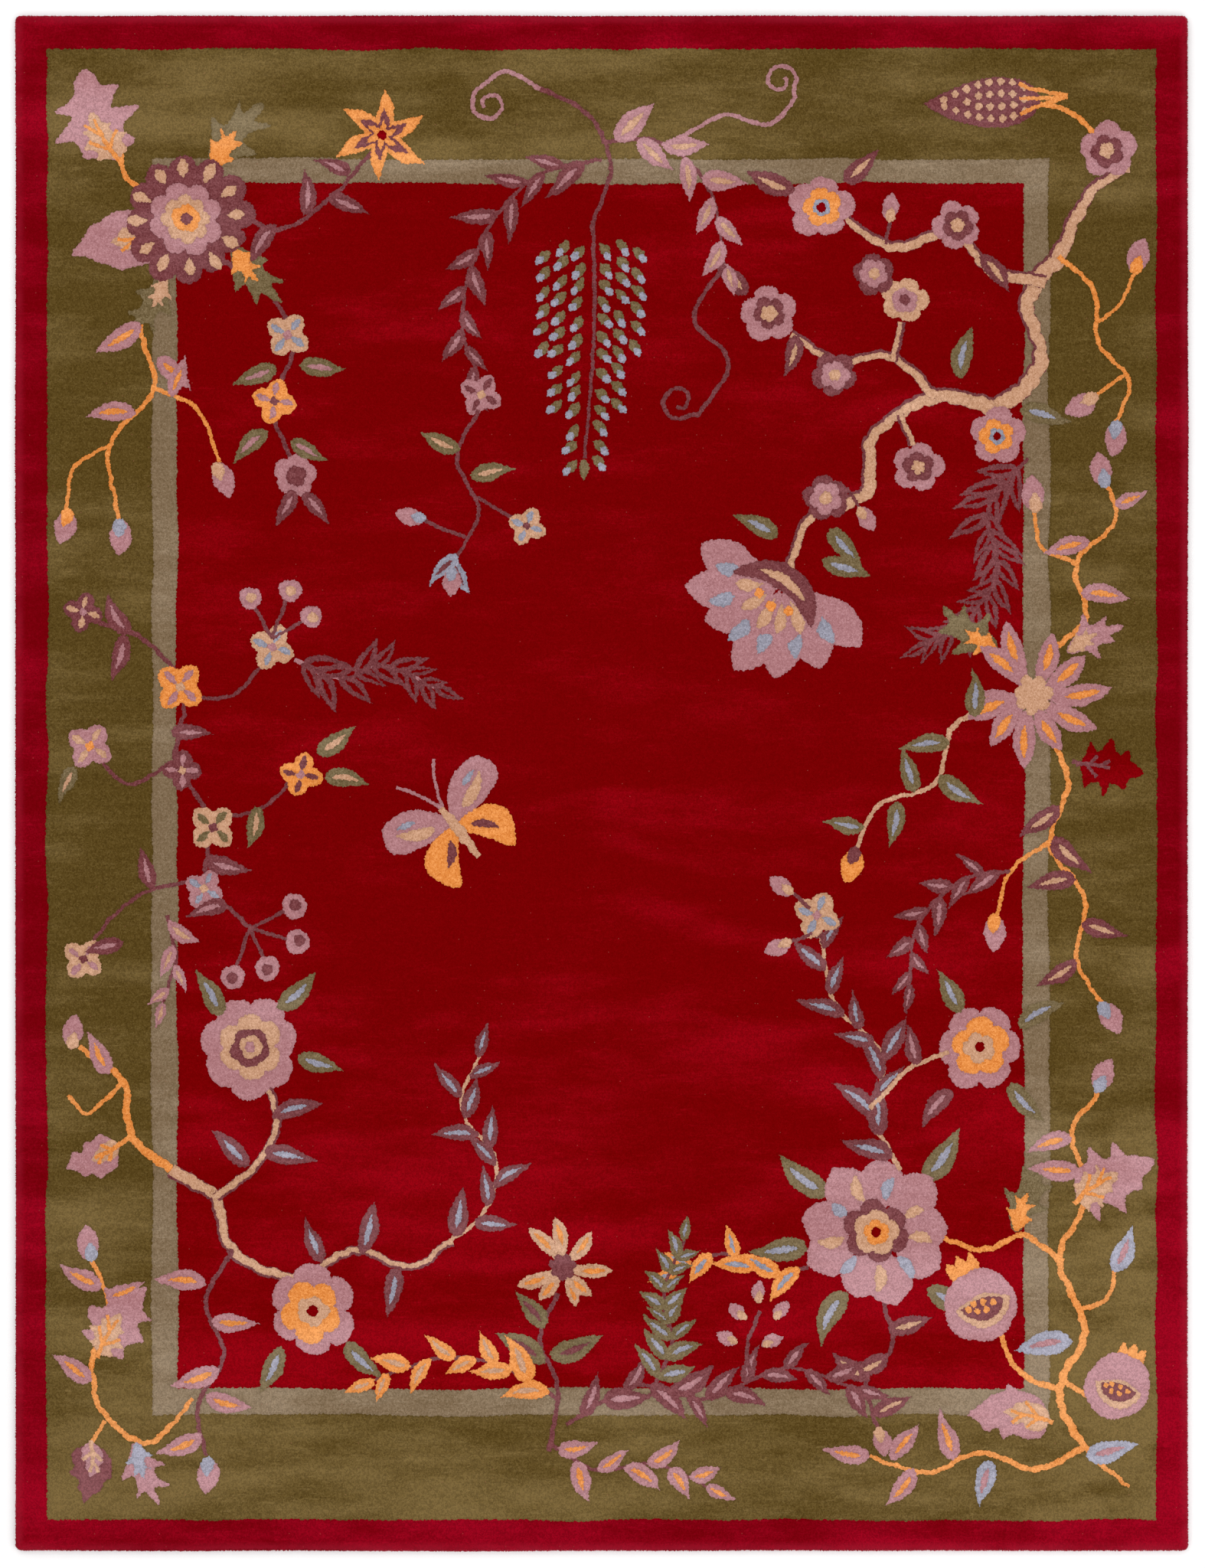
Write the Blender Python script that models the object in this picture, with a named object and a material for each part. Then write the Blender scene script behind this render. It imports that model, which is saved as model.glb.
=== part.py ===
# A hand-tufted area rug lying flat on a floor, cut pile upwards.
# Lengths are in metres: X runs across the rug, Y along it, and Z up from the floor.
# The origin is the middle of the rug, on the floor.

import math

import bmesh
import bpy

# Driving sizes
RUG_WIDTH = 2.670
RUG_LENGTH = 3.495
PILE_TOP = 0.014  # backing cloth and cut pile together
CORNER_RADIUS = 0.012
CORNER_STEPS = 4
EDGE_ROUNDING = 0.005  # how the cut pile eases over at the rim
EDGE_STEPS = 3
CELLS_ACROSS = 40
CELLS_ALONG = 52
CORNER_REACH = 0.005  # how near the full rectangle's corner a corner point lies
SHARP_ANGLE = math.radians(50)
MILLIMETRE = 0.001

PILE_COLOUR = (0.205, 0.0024, 0.0035, 1.0)
PILE_ROUGHNESS = 0.95

# The cut edge wanders. Each row gives the share of the side, from its low end, and how many
# millimetres the edge lies inside the full rectangle there.
EDGE_WOBBLE = (
    # share, left, right, bottom, top
    (0.00, 0.8, 0.5, 2.2, 0.6),
    (0.07, 1.4, 1.8, 1.5, 1.4),
    (0.14, 1.3, 2.2, 0.8, 0.3),
    (0.23, 1.6, 2.4, 2.0, 1.2),
    (0.31, 1.0, 2.3, 0.7, 0.2),
    (0.40, 0.7, 1.5, 0.0, 0.1),
    (0.48, 0.6, 2.2, 1.6, 1.5),
    (0.56, 0.8, 2.2, 1.2, 0.9),
    (0.64, 0.9, 1.6, 2.4, 0.0),
    (0.72, 0.0, 0.0, 1.3, 1.1),
    (0.81, 1.2, 1.4, 1.9, 1.3),
    (0.90, 1.7, 1.8, 1.3, 0.5),
    (1.00, 0.4, 1.9, 1.8, 0.6),
)

# Soft hollows and swells that the pile shows as it lies, mostly near the edges.
PILE_SWELLS = (
    # x, y, half-width in x, half-width in y, rise in millimetres
    (1.17, 1.21, 0.20, 0.10, 1.3),
    (1.19, 1.00, 0.18, 0.08, -1.2),
    (1.16, 0.78, 0.20, 0.11, 1.2),
    (1.18, 0.50, 0.16, 0.10, 1.4),
    (1.14, -0.06, 0.22, 0.12, 1.1),
    (1.17, -0.84, 0.18, 0.12, 1.2),
    (1.10, -1.54, 0.26, 0.16, 1.4),
    (0.10, 1.58, 0.55, 0.08, 1.2),
    (-1.15, 1.55, 0.22, 0.12, 1.1),
    (-1.18, -0.85, 0.18, 0.16, 1.2),
    (-1.12, -1.52, 0.24, 0.15, 1.0),
    (0.45, -0.30, 0.60, 0.30, -0.8),
    (-0.40, 0.70, 0.50, 0.35, 0.7),
)


def wobble(share, column):
    """How far an edge lies inside the full rectangle, eased between the rows of the table."""
    low = EDGE_WOBBLE[0]
    for high in EDGE_WOBBLE[1:]:
        if share <= high[0]:
            t = (share - low[0]) / (high[0] - low[0])
            t = t * t * (3 - 2 * t)
            return (low[column] + (high[column] - low[column]) * t) * MILLIMETRE
        low = high
    return EDGE_WOBBLE[-1][column] * MILLIMETRE


def pile_height(x, y):
    """Height of the pile's tips above the floor."""
    swell = sum(
        rise * math.exp(-(((x - cx) / rx) ** 2) - ((y - cy) / ry) ** 2)
        for cx, cy, rx, ry, rise in PILE_SWELLS
    )
    return PILE_TOP + swell * MILLIMETRE


def outline_point(u, v):
    """The place of a grid point, from its shares of the width and the length."""
    left = -RUG_WIDTH / 2 + wobble(v, 1)
    right = RUG_WIDTH / 2 - wobble(v, 2)
    bottom = -RUG_LENGTH / 2 + wobble(u, 3)
    top = RUG_LENGTH / 2 - wobble(u, 4)
    return left + (right - left) * u, bottom + (top - bottom) * v


def clear_objects():
    for leftover in list(bpy.data.objects):
        bpy.data.objects.remove(leftover, do_unlink=True)


def pile_material():
    material = bpy.data.materials.new("wool_pile")
    material.use_nodes = True
    shader = material.node_tree.nodes["Principled BSDF"]
    shader.inputs["Base Color"].default_value = PILE_COLOUR
    shader.inputs["Roughness"].default_value = PILE_ROUGHNESS
    shader.inputs["Metallic"].default_value = 0.0
    return material


def add_flat_grid():
    """One sheet of quads, as wide and long as the rug, lying on the floor."""
    bpy.ops.mesh.primitive_grid_add(
        x_subdivisions=CELLS_ACROSS, y_subdivisions=CELLS_ALONG, size=1.0
    )
    rug = bpy.context.object
    for vertex in rug.data.vertices:
        u, v = vertex.co.x + 0.5, vertex.co.y + 0.5
        vertex.co.x, vertex.co.y = outline_point(u, v)
    return rug


def thicken_to_slab(bm):
    """Raises a copy of the sheet to the pile's tips, with walls between, and rounds the corners."""
    floor_faces = list(bm.faces)
    raised = bmesh.ops.extrude_face_region(bm, geom=floor_faces, use_keep_orig=True)
    top_points = [item for item in raised["geom"] if isinstance(item, bmesh.types.BMVert)]
    for point in top_points:
        point.co.z = PILE_TOP
    bmesh.ops.dissolve_faces(bm, faces=floor_faces, use_verts=False)
    bmesh.ops.recalc_face_normals(bm, faces=bm.faces)
    upright_at_corners = [
        edge
        for edge in bm.edges
        if abs(edge.verts[0].co.z - edge.verts[1].co.z) > PILE_TOP / 2
        and is_corner(edge.verts[0].co)
    ]
    bmesh.ops.bevel(
        bm,
        geom=upright_at_corners,
        offset=CORNER_RADIUS,
        segments=CORNER_STEPS,
        profile=0.5,
        affect="EDGES",
        clamp_overlap=False,
    )


def is_corner(place):
    from_side = abs(abs(place.x) - RUG_WIDTH / 2)
    from_end = abs(abs(place.y) - RUG_LENGTH / 2)
    return from_side < CORNER_REACH and from_end < CORNER_REACH


def ease_top_rim(bm):
    """Rounds the pile over along the whole top edge."""
    rim = [
        edge
        for edge in bm.edges
        if len(edge.link_faces) == 2
        and min(vertex.co.z for vertex in edge.verts) > PILE_TOP / 2
        and any(abs(face.normal.z) < 0.5 for face in edge.link_faces)
    ]
    bmesh.ops.bevel(
        bm,
        geom=rim,
        offset=EDGE_ROUNDING,
        segments=EDGE_STEPS,
        profile=0.5,
        affect="EDGES",
        clamp_overlap=False,
    )


def shape_pile(bm):
    """Gives the top its soft swells; the underside stays flat on the floor."""
    for vertex in bm.verts:
        share = vertex.co.z / PILE_TOP
        vertex.co.z = share * pile_height(vertex.co.x, vertex.co.y)


def build_rug():
    collection = bpy.data.collections.new("tufted_rug")
    bpy.context.scene.collection.children.link(collection)
    rug = add_flat_grid()
    rug.name = "tufted_rug"
    bm = bmesh.new()
    bm.from_mesh(rug.data)
    thicken_to_slab(bm)
    ease_top_rim(bm)
    shape_pile(bm)
    bmesh.ops.recalc_face_normals(bm, faces=bm.faces)
    bm.to_mesh(rug.data)
    bm.free()
    rug.data.name = "tufted_rug"
    rug.data.materials.append(pile_material())
    rug.data.shade_smooth()
    rug.data.set_sharp_from_angle(angle=SHARP_ANGLE)
    for holder in list(rug.users_collection):
        holder.objects.unlink(rug)
    collection.objects.link(rug)


clear_objects()
build_rug()
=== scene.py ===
import math
import random

import bmesh
import bpy
import numpy as np
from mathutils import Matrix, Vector, kdtree
from mathutils.bvhtree import BVHTree
from mathutils.geometry import delaunay_2d_cdt


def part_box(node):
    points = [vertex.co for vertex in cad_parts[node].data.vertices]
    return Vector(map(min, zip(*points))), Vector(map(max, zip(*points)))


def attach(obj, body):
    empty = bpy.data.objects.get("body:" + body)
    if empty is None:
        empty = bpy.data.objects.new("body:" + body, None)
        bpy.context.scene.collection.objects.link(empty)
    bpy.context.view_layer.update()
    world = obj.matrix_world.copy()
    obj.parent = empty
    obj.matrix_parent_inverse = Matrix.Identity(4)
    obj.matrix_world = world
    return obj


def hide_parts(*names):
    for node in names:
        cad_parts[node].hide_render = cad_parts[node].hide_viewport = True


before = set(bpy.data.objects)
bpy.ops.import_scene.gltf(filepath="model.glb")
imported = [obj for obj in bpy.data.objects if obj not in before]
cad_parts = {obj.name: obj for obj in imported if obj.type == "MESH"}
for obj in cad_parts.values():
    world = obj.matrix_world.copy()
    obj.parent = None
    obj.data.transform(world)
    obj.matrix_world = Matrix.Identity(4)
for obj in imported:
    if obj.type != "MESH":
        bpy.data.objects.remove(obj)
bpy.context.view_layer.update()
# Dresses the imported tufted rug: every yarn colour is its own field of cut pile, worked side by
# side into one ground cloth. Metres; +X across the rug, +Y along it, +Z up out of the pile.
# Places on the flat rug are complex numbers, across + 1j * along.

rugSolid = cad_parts["tufted_rug"]
rugLow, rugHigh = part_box("tufted_rug")
halfWidth = (rugHigh.x - rugLow.x) / 2
halfLength = (rugHigh.y - rugLow.y) / 2
solidRead = {
    "weld": 1e-5,       # distance under which the solid's corners are one point
    "facesDown": -0.9,  # a face whose normal is lower than this lies on the floor
}


# The rug's own form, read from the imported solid
def mergedCopy(source, name):
    piece = source.copy()
    piece.data = source.data.copy()
    piece.name = piece.data.name = name
    for key in list(piece.keys()):
        del piece[key]
    piece.parent = None
    bpy.context.scene.collection.objects.link(piece)
    bm = bmesh.new()
    bm.from_mesh(piece.data)
    bmesh.ops.remove_doubles(bm, verts=bm.verts, dist=solidRead["weld"])
    bm.to_mesh(piece.data)
    bm.free()
    return piece


def rimLoop(piece):
    # the solid's outline on the floor, anticlockwise
    bm = bmesh.new()
    bm.from_mesh(piece.data)
    follows = {}
    for edge in bm.edges:
        lowFaces = [f for f in edge.link_faces if f.normal.z < solidRead["facesDown"]]
        if len(lowFaces) == 1 and len(edge.link_faces) == 2:
            a, b = edge.verts
            follows.setdefault(a, []).append(b)
            follows.setdefault(b, []).append(a)
    start = here = next(iter(follows))
    before = None
    loop = []
    while True:
        loop.append(complex(here.co.x, here.co.y))
        ahead = [v for v in follows[here] if v is not before]
        before, here = here, ahead[0]
        if here is start:
            break
    bm.free()
    loop = np.array(loop)
    turning = (loop.real * np.roll(loop.imag, -1) - np.roll(loop.real, -1) * loop.imag).sum()
    return loop if turning > 0 else loop[::-1]


print("rug: reading the packed solid")
groundCloth = mergedCopy(rugSolid, "ground_cloth")
rim = rimLoop(groundCloth)
solidTree = BVHTree.FromObject(rugSolid, bpy.context.evaluated_depsgraph_get())


# Pattern: how evenly the hand works
tufting = {
    "step": 0.0031,      # spacing of the points along every colour's outline
    "jag": 0.0020,       # how far a single tuft strays to either side of the outline
    "wander": 0.0017,    # how far the hand strays from the drawn line over several tufts
    "wanderRun": 7,      # in steps
    "smallWander": 0.0002,  # on small outlines no more than this for each of their steps
    "seed": 11,
}
stems = {
    "wander": 1.3,       # a stem's wander and jag, as shares of the ones above
    "jag": 0.8,
    "wanderRun": 5,      # in steps
    "widthSway": 0.16,   # share by which the width wanders, and over how many steps
    "swayRun": 3,
    "shade": 0.0035,     # width of the darker edge on a shaded stem
    "length": 11,        # steps worked at a time
}
leafForm = {
    "stations": 16,
    "longer": 1.08,      # drawn this much longer and wider than asked, to allow for the jags
    "wider": 1.04,
    "hook": (0.08, 0.26),
    "fullest": (0.32, 0.42),
    "bend": (0.06, 0.16),
    "point": 1.12,       # how quickly it narrows to its tip, and how any other leaf shape does
    "round": 0.8,
    "vein": 0.30,        # share of the width, then where along the leaf it starts and ends
    "veinSpan": (0.16, 0.74),
}
dice = random.Random(tufting["seed"])
areas = []  # (yarn, outline) in the order they are worked, later ones on top


def turnedBy(degrees):
    return complex(math.cos(math.radians(degrees)), math.sin(math.radians(degrees)))


def spot(place):
    return complex(*place) if isinstance(place, tuple) else complex(place)


def evenly(points, closed, step=tufting["step"]):
    # the same line with its points one step apart
    line = np.append(points, points[:1]) if closed else points
    runs = np.concatenate([[0.0], np.cumsum(np.abs(np.diff(line)))])
    count = max(4 if closed else 2, round(runs[-1] / step) + (0 if closed else 1))
    stops = np.linspace(0.0, runs[-1], count, endpoint=not closed)
    return np.interp(stops, runs, line.real) + 1j * np.interp(stops, runs, line.imag)


def smoothLine(points, closed=False, fine=10):
    # a soft curve through a few given points
    marks = [spot(p) for p in points]
    if closed:
        marks = [marks[-1]] + marks + marks[:2]
    else:
        marks = [2 * marks[0] - marks[1]] + marks + [2 * marks[-1] - marks[-2]]
    curve = []
    for a, b, c, d in zip(marks, marks[1:], marks[2:], marks[3:]):
        run = abs(c - b)
        leave = (c - a) / (abs(c - b) + abs(b - a)) * run
        arrive = (d - b) / (abs(d - c) + abs(c - b)) * run
        for k in range(fine):
            t = k / fine
            s = 1 - t
            curve.append(
                b * (1 + 2 * t) * s * s + leave * t * s * s + c * t * t * (3 - 2 * t) - arrive * t * t * s
            )
    if not closed:
        curve.append(marks[-2])
    return np.array(curve)


def acrossLine(line, closed=False):
    # unit steps to the left of the line at each of its points
    along = np.roll(line, -1) - np.roll(line, 1) if closed else np.gradient(line)
    return along * 1j / np.maximum(np.abs(along), 1e-9)


def strays(count, reach, closed=False, run=1):
    # random strays to either side, one every run steps and blended between them
    marks = [dice.uniform(-reach, reach) for _ in range(max(3, count // run))]
    if closed:
        marks.append(marks[0])
    return np.interp(np.linspace(0, len(marks) - 1, count), range(len(marks)), marks)


def work(yarn, outline, wander=1.0):
    # fill an outline with one yarn, its edge as uneven as hand tufting
    outline = evenly(np.asarray(outline, dtype=complex), True)
    count = len(outline)
    reach = min(tufting["wander"], tufting["smallWander"] * count) * wander
    slip = strays(count, reach, True, tufting["wanderRun"]) + strays(count, tufting["jag"])
    areas.append((yarn, outline + acrossLine(outline, True) * slip))


def stem(yarn, points, widths, shade=None, shift=0.0, kinks=1.0):
    # a band of changing width along a line
    middle = evenly(smoothLine(points), False)
    count = len(middle)
    wander = tufting["wander"] * stems["wander"] * kinks
    middle = middle + acrossLine(middle) * strays(count, wander, run=stems["wanderRun"])
    half = np.interp(np.linspace(0, 1, count), np.linspace(0, 1, len(widths)), widths) / 2
    half = half * (1 + strays(count, stems["widthSway"], run=stems["swayRun"]))
    if shade:
        stemStrip(shade, middle - acrossLine(middle) * shift, half + stems["shade"])
    stemStrip(yarn, middle, half)
    return middle


def stemStrip(yarn, middle, half):
    # worked in short overlapping lengths, so that a stem may cross itself
    across = acrossLine(middle)
    left = middle + across * (half + strays(len(middle), tufting["jag"] * stems["jag"]))
    right = middle - across * (half + strays(len(middle), tufting["jag"] * stems["jag"]))
    for first in range(0, len(middle) - 1, stems["length"]):
        last = min(first + stems["length"], len(middle) - 1)
        areas.append((yarn, np.concatenate([left[first:last + 1], right[first:last + 1][::-1]])))


def leafShape(
    base, tip, width, bend=0.0, fullest=0.42, start=0.0, end=1.0, hook=0.0, point=leafForm["round"],
):
    # a leaf between two points, or a strip of its middle from start to end
    reach = tip - base
    t = np.linspace(0, 1, leafForm["stations"])
    s = start + (end - start) * t
    spine = base + reach * (s + 1j * (bend * 4 * s * (1 - s) + hook * s ** 4))
    swell = np.clip(np.sin(np.pi * t ** (math.log(0.5) / math.log(fullest))), 0, 1)
    half = width / 2 * swell ** np.where(t > fullest, point, leafForm["round"])
    across = acrossLine(spine)
    return np.concatenate([spine + across * half, (spine - across * half)[-2:0:-1]])


def leaf(yarn, veinYarn, base, heading, length, width, bend):
    base = spot(base)
    hook = dice.uniform(*leafForm["hook"]) * (1 if bend > 0 else -1)
    tip = base + turnedBy(heading) * length * leafForm["longer"]
    fullest = dice.uniform(*leafForm["fullest"])
    wide = width * leafForm["wider"]
    work(yarn, leafShape(base, tip, wide, bend, fullest, hook=hook, point=leafForm["point"]))
    if veinYarn:
        start, end = leafForm["veinSpan"]
        thin = width * leafForm["vein"]
        work(veinYarn, leafShape(base, tip, thin, bend, start=start, end=end, hook=hook), 0.5)


def leaves(yarn, veinYarn, rows):
    # base x, base y, heading, length, width
    for x, y, heading, length, width in rows:
        bend = dice.choice((-1, 1)) * dice.uniform(*leafForm["bend"])
        leaf(yarn, veinYarn, (x, y), heading, length, width, bend)


sprigForm = {
    "thinner": 0.8,         # the stem's end, as a share of its start
    "taper": 0.3,           # how much smaller the last leaves are
    "firstAt": 0.06,        # share of the stem below the first leaf
    "turnSway": (0.8, 1.2),
    "sizeSway": (0.85, 1.15),
    "widthSway": (0.9, 1.15),
    "gapSway": (0.82, 1.18),
    "leastGap": 4,          # in steps
    "lastBend": 0.08,
}


def sprig(
    stemYarn, leafYarn, veinYarn, points, length, width, gap, stemWidth=0.009, spread=46, pairs=False,
):
    # a stem with leaves on alternate sides or in pairs, smaller towards its end
    middle = stem(stemYarn, points, (stemWidth, stemWidth * sprigForm["thinner"]))
    count = len(middle)
    at = int(count * sprigForm["firstAt"])
    side = 1
    while at < count - sprigForm["leastGap"]:
        heading = math.degrees(np.angle(middle[min(at + 2, count - 1)] - middle[max(at - 2, 0)]))
        for way in ((side, -side) if pairs else (side,)):
            size = (1 - sprigForm["taper"] * at / count) * dice.uniform(*sprigForm["sizeSway"])
            turned = heading + way * spread * dice.uniform(*sprigForm["turnSway"])
            wide = width * size * dice.uniform(*sprigForm["widthSway"])
            bend = -way * dice.uniform(*leafForm["bend"])
            leaf(leafYarn, veinYarn, middle[at], turned, length * size, wide, bend)
        side = -side
        onward = int(gap / tufting["step"] * dice.uniform(*sprigForm["gapSway"]))
        at += max(sprigForm["leastGap"], onward)
    heading = math.degrees(np.angle(middle[-1] - middle[-4]))
    last = 1 - sprigForm["taper"]
    leaf(leafYarn, veinYarn, middle[-2], heading, length * last, width * last, sprigForm["lastBend"])


petalForm = {
    "steps": 16,            # points along one petal of a ring
    "sizes": (0.90, 1.10),
    "ringTurn": 20,         # degrees from one ring of a blossom to the next
}


def petalRing(centre, radius, petals, depth, turn=0.0):
    # a round outline with one uneven lobe for each petal
    angles = np.linspace(0, 2 * np.pi, petalForm["steps"] * petals, endpoint=False)
    lobes = np.sqrt(np.abs(np.cos(petals * (angles - math.radians(turn)) / 2)))
    sizes = [dice.uniform(*petalForm["sizes"]) for _ in range(petals)]
    sizes = np.interp(angles, np.linspace(0, 2 * np.pi, petals + 1), sizes + sizes[:1])
    return spot(centre) + radius * (1 - depth + depth * lobes) * sizes * np.exp(1j * angles)


def petalsAround(yarns, centre, radius, count, turn, sway, foot, tip, width, bend, fullest):
    # leaf-shaped petals round a centre, the yarns taking turns; lengths are shares of the radius
    for k in range(count):
        way = turnedBy(turn + 360 / count * k + dice.uniform(-sway, sway)) * radius
        base, end = centre + way * foot, centre + way * dice.uniform(*tip)
        work(yarns[k % len(yarns)], leafShape(base, end, radius * width, bend, fullest))


squareForm = {"steps": 48, "boxy": 6, "dentWidth": 0.36}


def notchedSquare(centre, half, notch, turn):
    # a square with soft corners and a dent in each side
    angles = np.linspace(0, 2 * np.pi, squareForm["steps"], endpoint=False)
    boxy = squareForm["boxy"]
    boxed = (np.abs(np.cos(angles)) ** boxy + np.abs(np.sin(angles)) ** boxy) ** (-1 / boxy)
    dent = notch * np.exp(-(np.sin(2 * angles) / squareForm["dentWidth"]) ** 2)
    return spot(centre) + half * boxed * (1 - dent) * np.exp(1j * (angles + math.radians(turn)))


def blossom(centre, radius, layers, turn):
    # rings of petals inside each other: (yarn, share of the radius, petals, depth)
    for k, (yarn, share, petals, depth) in enumerate(layers):
        work(yarn, petalRing(centre, radius * share, petals, depth, turn + petalForm["ringTurn"] * k))


def squareBlossom(centre, size, yarns, turn):
    centre = spot(centre)
    work(yarns[0], notchedSquare(centre, size * 0.47, 0.2, turn))
    for k in range(4):
        way = turnedBy(turn + 45 + 90 * k + dice.uniform(-6, 6))
        base, end = centre + way * size * 0.1, centre + way * size * 0.5
        work(yarns[1], leafShape(base, end, size * 0.17, 0.05, 0.55))
    work(yarns[2], notchedSquare(centre, size * 0.1, 0.1, turn + 20), 0.5)


def bud(centre, heading, length, yarn, tipYarn):
    centre = spot(centre)
    way = turnedBy(heading)
    start, end = centre - way * length / 2, centre + way * length / 2
    work(yarn, leafShape(start, end, length * 0.6, 0.05, 0.48, hook=0.05))
    start, end = centre - way * length * 0.52, centre + way * length * 0.02
    work(tipYarn, leafShape(start, end, length * 0.36, 0.0, 0.4), 0.5)


twigForm = {"length": 1.3, "widths": (0.008, 0.008)}    # length as a share of the bud's


def twigBuds(yarn, places, headings, length, yarns):
    # a short twig to each bud
    for place, heading in zip(places, headings):
        place = spot(place)
        foot = place - turnedBy(heading) * length * twigForm["length"]
        stem(yarn, [foot, place], twigForm["widths"])
        bud(place, heading, length, *yarns)


def berry(centre, radius, yarn, spotYarn):
    centre = spot(centre)
    work(yarn, petalRing(centre, radius, 3, 0.12, dice.uniform(0, 90)))
    aside = turnedBy(dice.uniform(0, 360)) * radius * 0.12
    work(spotYarn, petalRing(centre + aside, radius * 0.45, 3, 0.1), 0.5)


curlForm = {
    "pointsPerTurn": 9,
    "winds": 0.70,          # share of the radius lost on the way in
    "widths": (0.010, 0.010, 0.009),
}


def curl(yarn, lead, centre, radius, turns, startAngle, sense=1):
    # a tendril that ends in a spiral
    steps = int(curlForm["pointsPerTurn"] * turns)
    spiral = []
    for k in range(steps + 1):
        way = turnedBy(startAngle + sense * 360 * turns * k / steps)
        spiral.append(spot(centre) + way * radius * (1 - curlForm["winds"] * k / steps))
    stem(yarn, [spot(p) for p in lead] + spiral, curlForm["widths"])


lobedForm = {
    "middle": 0.56,         # size of the paler middle
    "slip": 0.04,           # how unevenly the lobes stand and reach out
    "alongSway": (0.96, 1.04),
    "asideSway": (0.82, 1.12),
    "vein": ((-0.04, 0.0), (0.22, 0.01), (0.48, -0.01)),
    "veinWidths": (0.011, 0.009, 0.007),
    "sideVeins": ((0.16, 0.15), (0.18, -0.16), (0.34, 0.12)),
    "sideVeinReach": (0.04, 0.12),  # back and forth along the leaf from where it branches
    "sideVeinWidths": (0.008, 0.007),
}
leafEdges = {
    # share of the length along the leaf, share of the length across it
    "broad": (
        (0.02, 0.04), (0.08, 0.17), (0.13, 0.33), (0.24, 0.25), (0.34, 0.31), (0.42, 0.45), (0.5, 0.27),
        (0.6, 0.24), (0.72, 0.33), (0.76, 0.16), (0.88, 0.1),
    ),
    "flame": (
        (0.02, 0.05), (0.16, 0.14), (0.3, 0.2), (0.46, 0.36), (0.48, 0.18), (0.62, 0.17), (0.8, 0.27),
        (0.76, 0.09), (0.88, 0.06),
    ),
    "round": (
        (0.03, 0.06), (0.1, 0.2), (0.24, 0.31), (0.42, 0.3), (0.52, 0.34), (0.6, 0.22), (0.74, 0.22),
        (0.84, 0.1),
    ),
}


def lobedLeaf(kind, yarns, base, heading, length, bend=0.0):
    # a large leaf with pointed lobes, a paler middle and branching veins: (edge, middle, vein) yarns
    base = spot(base)
    way = turnedBy(heading) * length

    def at(along, aside):
        return base + way * (along + 1j * (aside + bend * 4 * along * (1 - along)))

    for share, yarn in ((1.0, yarns[0]), (lobedForm["middle"], yarns[1])):
        if not yarn:
            continue
        sides = []
        for side in (1, -1):
            slip = dice.uniform(-lobedForm["slip"], lobedForm["slip"])
            edge = []
            for along, aside in leafEdges[kind]:
                there = share * (along + slip * along) * dice.uniform(*lobedForm["alongSway"])
                edge.append(at(there, share * side * aside * dice.uniform(*lobedForm["asideSway"])))
            sides.append(edge)
        marks = [at(0, 0)] + sides[0] + [at(share, 0.0)] + sides[1][::-1]
        work(yarn, smoothLine(marks, True, 3))
    if yarns[2]:
        stem(yarns[2], [at(*place) for place in lobedForm["vein"]], lobedForm["veinWidths"])
        back, forth = lobedForm["sideVeinReach"]
        for along, aside in lobedForm["sideVeins"]:
            ends = [at(along - back, 0), at(along + forth, aside)]
            stem(yarns[2], ends, lobedForm["sideVeinWidths"])


bands = {
    # yarn: left, right, bottom and top edges
    "olive": (-1.262, 1.262, -1.676, 1.671),
    "taupe": (-1.023, 1.018, -1.438, 1.422),
    "field": (-0.966, 0.96, -1.377, 1.366),
}
bandWaver = {"gap": 0.11, "reach": 0.0035}    # how often and how far a band's edge strays


def bandOutline(left, right, bottom, top):
    # a rectangle drawn by hand, its sides wavering between true corners
    corners = [complex(left, bottom), complex(right, bottom), complex(right, top), complex(left, top)]
    outline = []
    for a, b in zip(corners, corners[1:] + corners[:1]):
        side = np.linspace(0, 1, int(abs(b - a) / bandWaver["gap"]))[:-1]
        slip = np.array([dice.uniform(-bandWaver["reach"], bandWaver["reach"]) for _ in side])
        slip[0] = 0
        marks = a + (b - a) * side + (b - a) / abs(b - a) * 1j * slip
        outline.append(smoothLine(list(marks) + [b], fine=8)[:-1])
    return np.concatenate(outline)


clusterForm = {
    "rows": 13,
    "stemWidths": (0.009, 0.007),
    "stemBow": 0.012,
    "firstAt": 0.1,         # share of the stem above the first row
    "narrowing": 0.7,
    "room": 0.04,           # width that a bud takes up in its row
    "nearest": 0.018,       # from the stem to the first bud, then from bud to bud across and up
    "across": 0.038,
    "up": 0.014,
    "slip": 0.006,
    "lean": (30, 52),
    "bud": (0.038, 0.023),  # length and width
    "tip": (0.022, 0.046, 0.018),  # start, end and width
    "lastBud": (0.05, 0.024),
}


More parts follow.
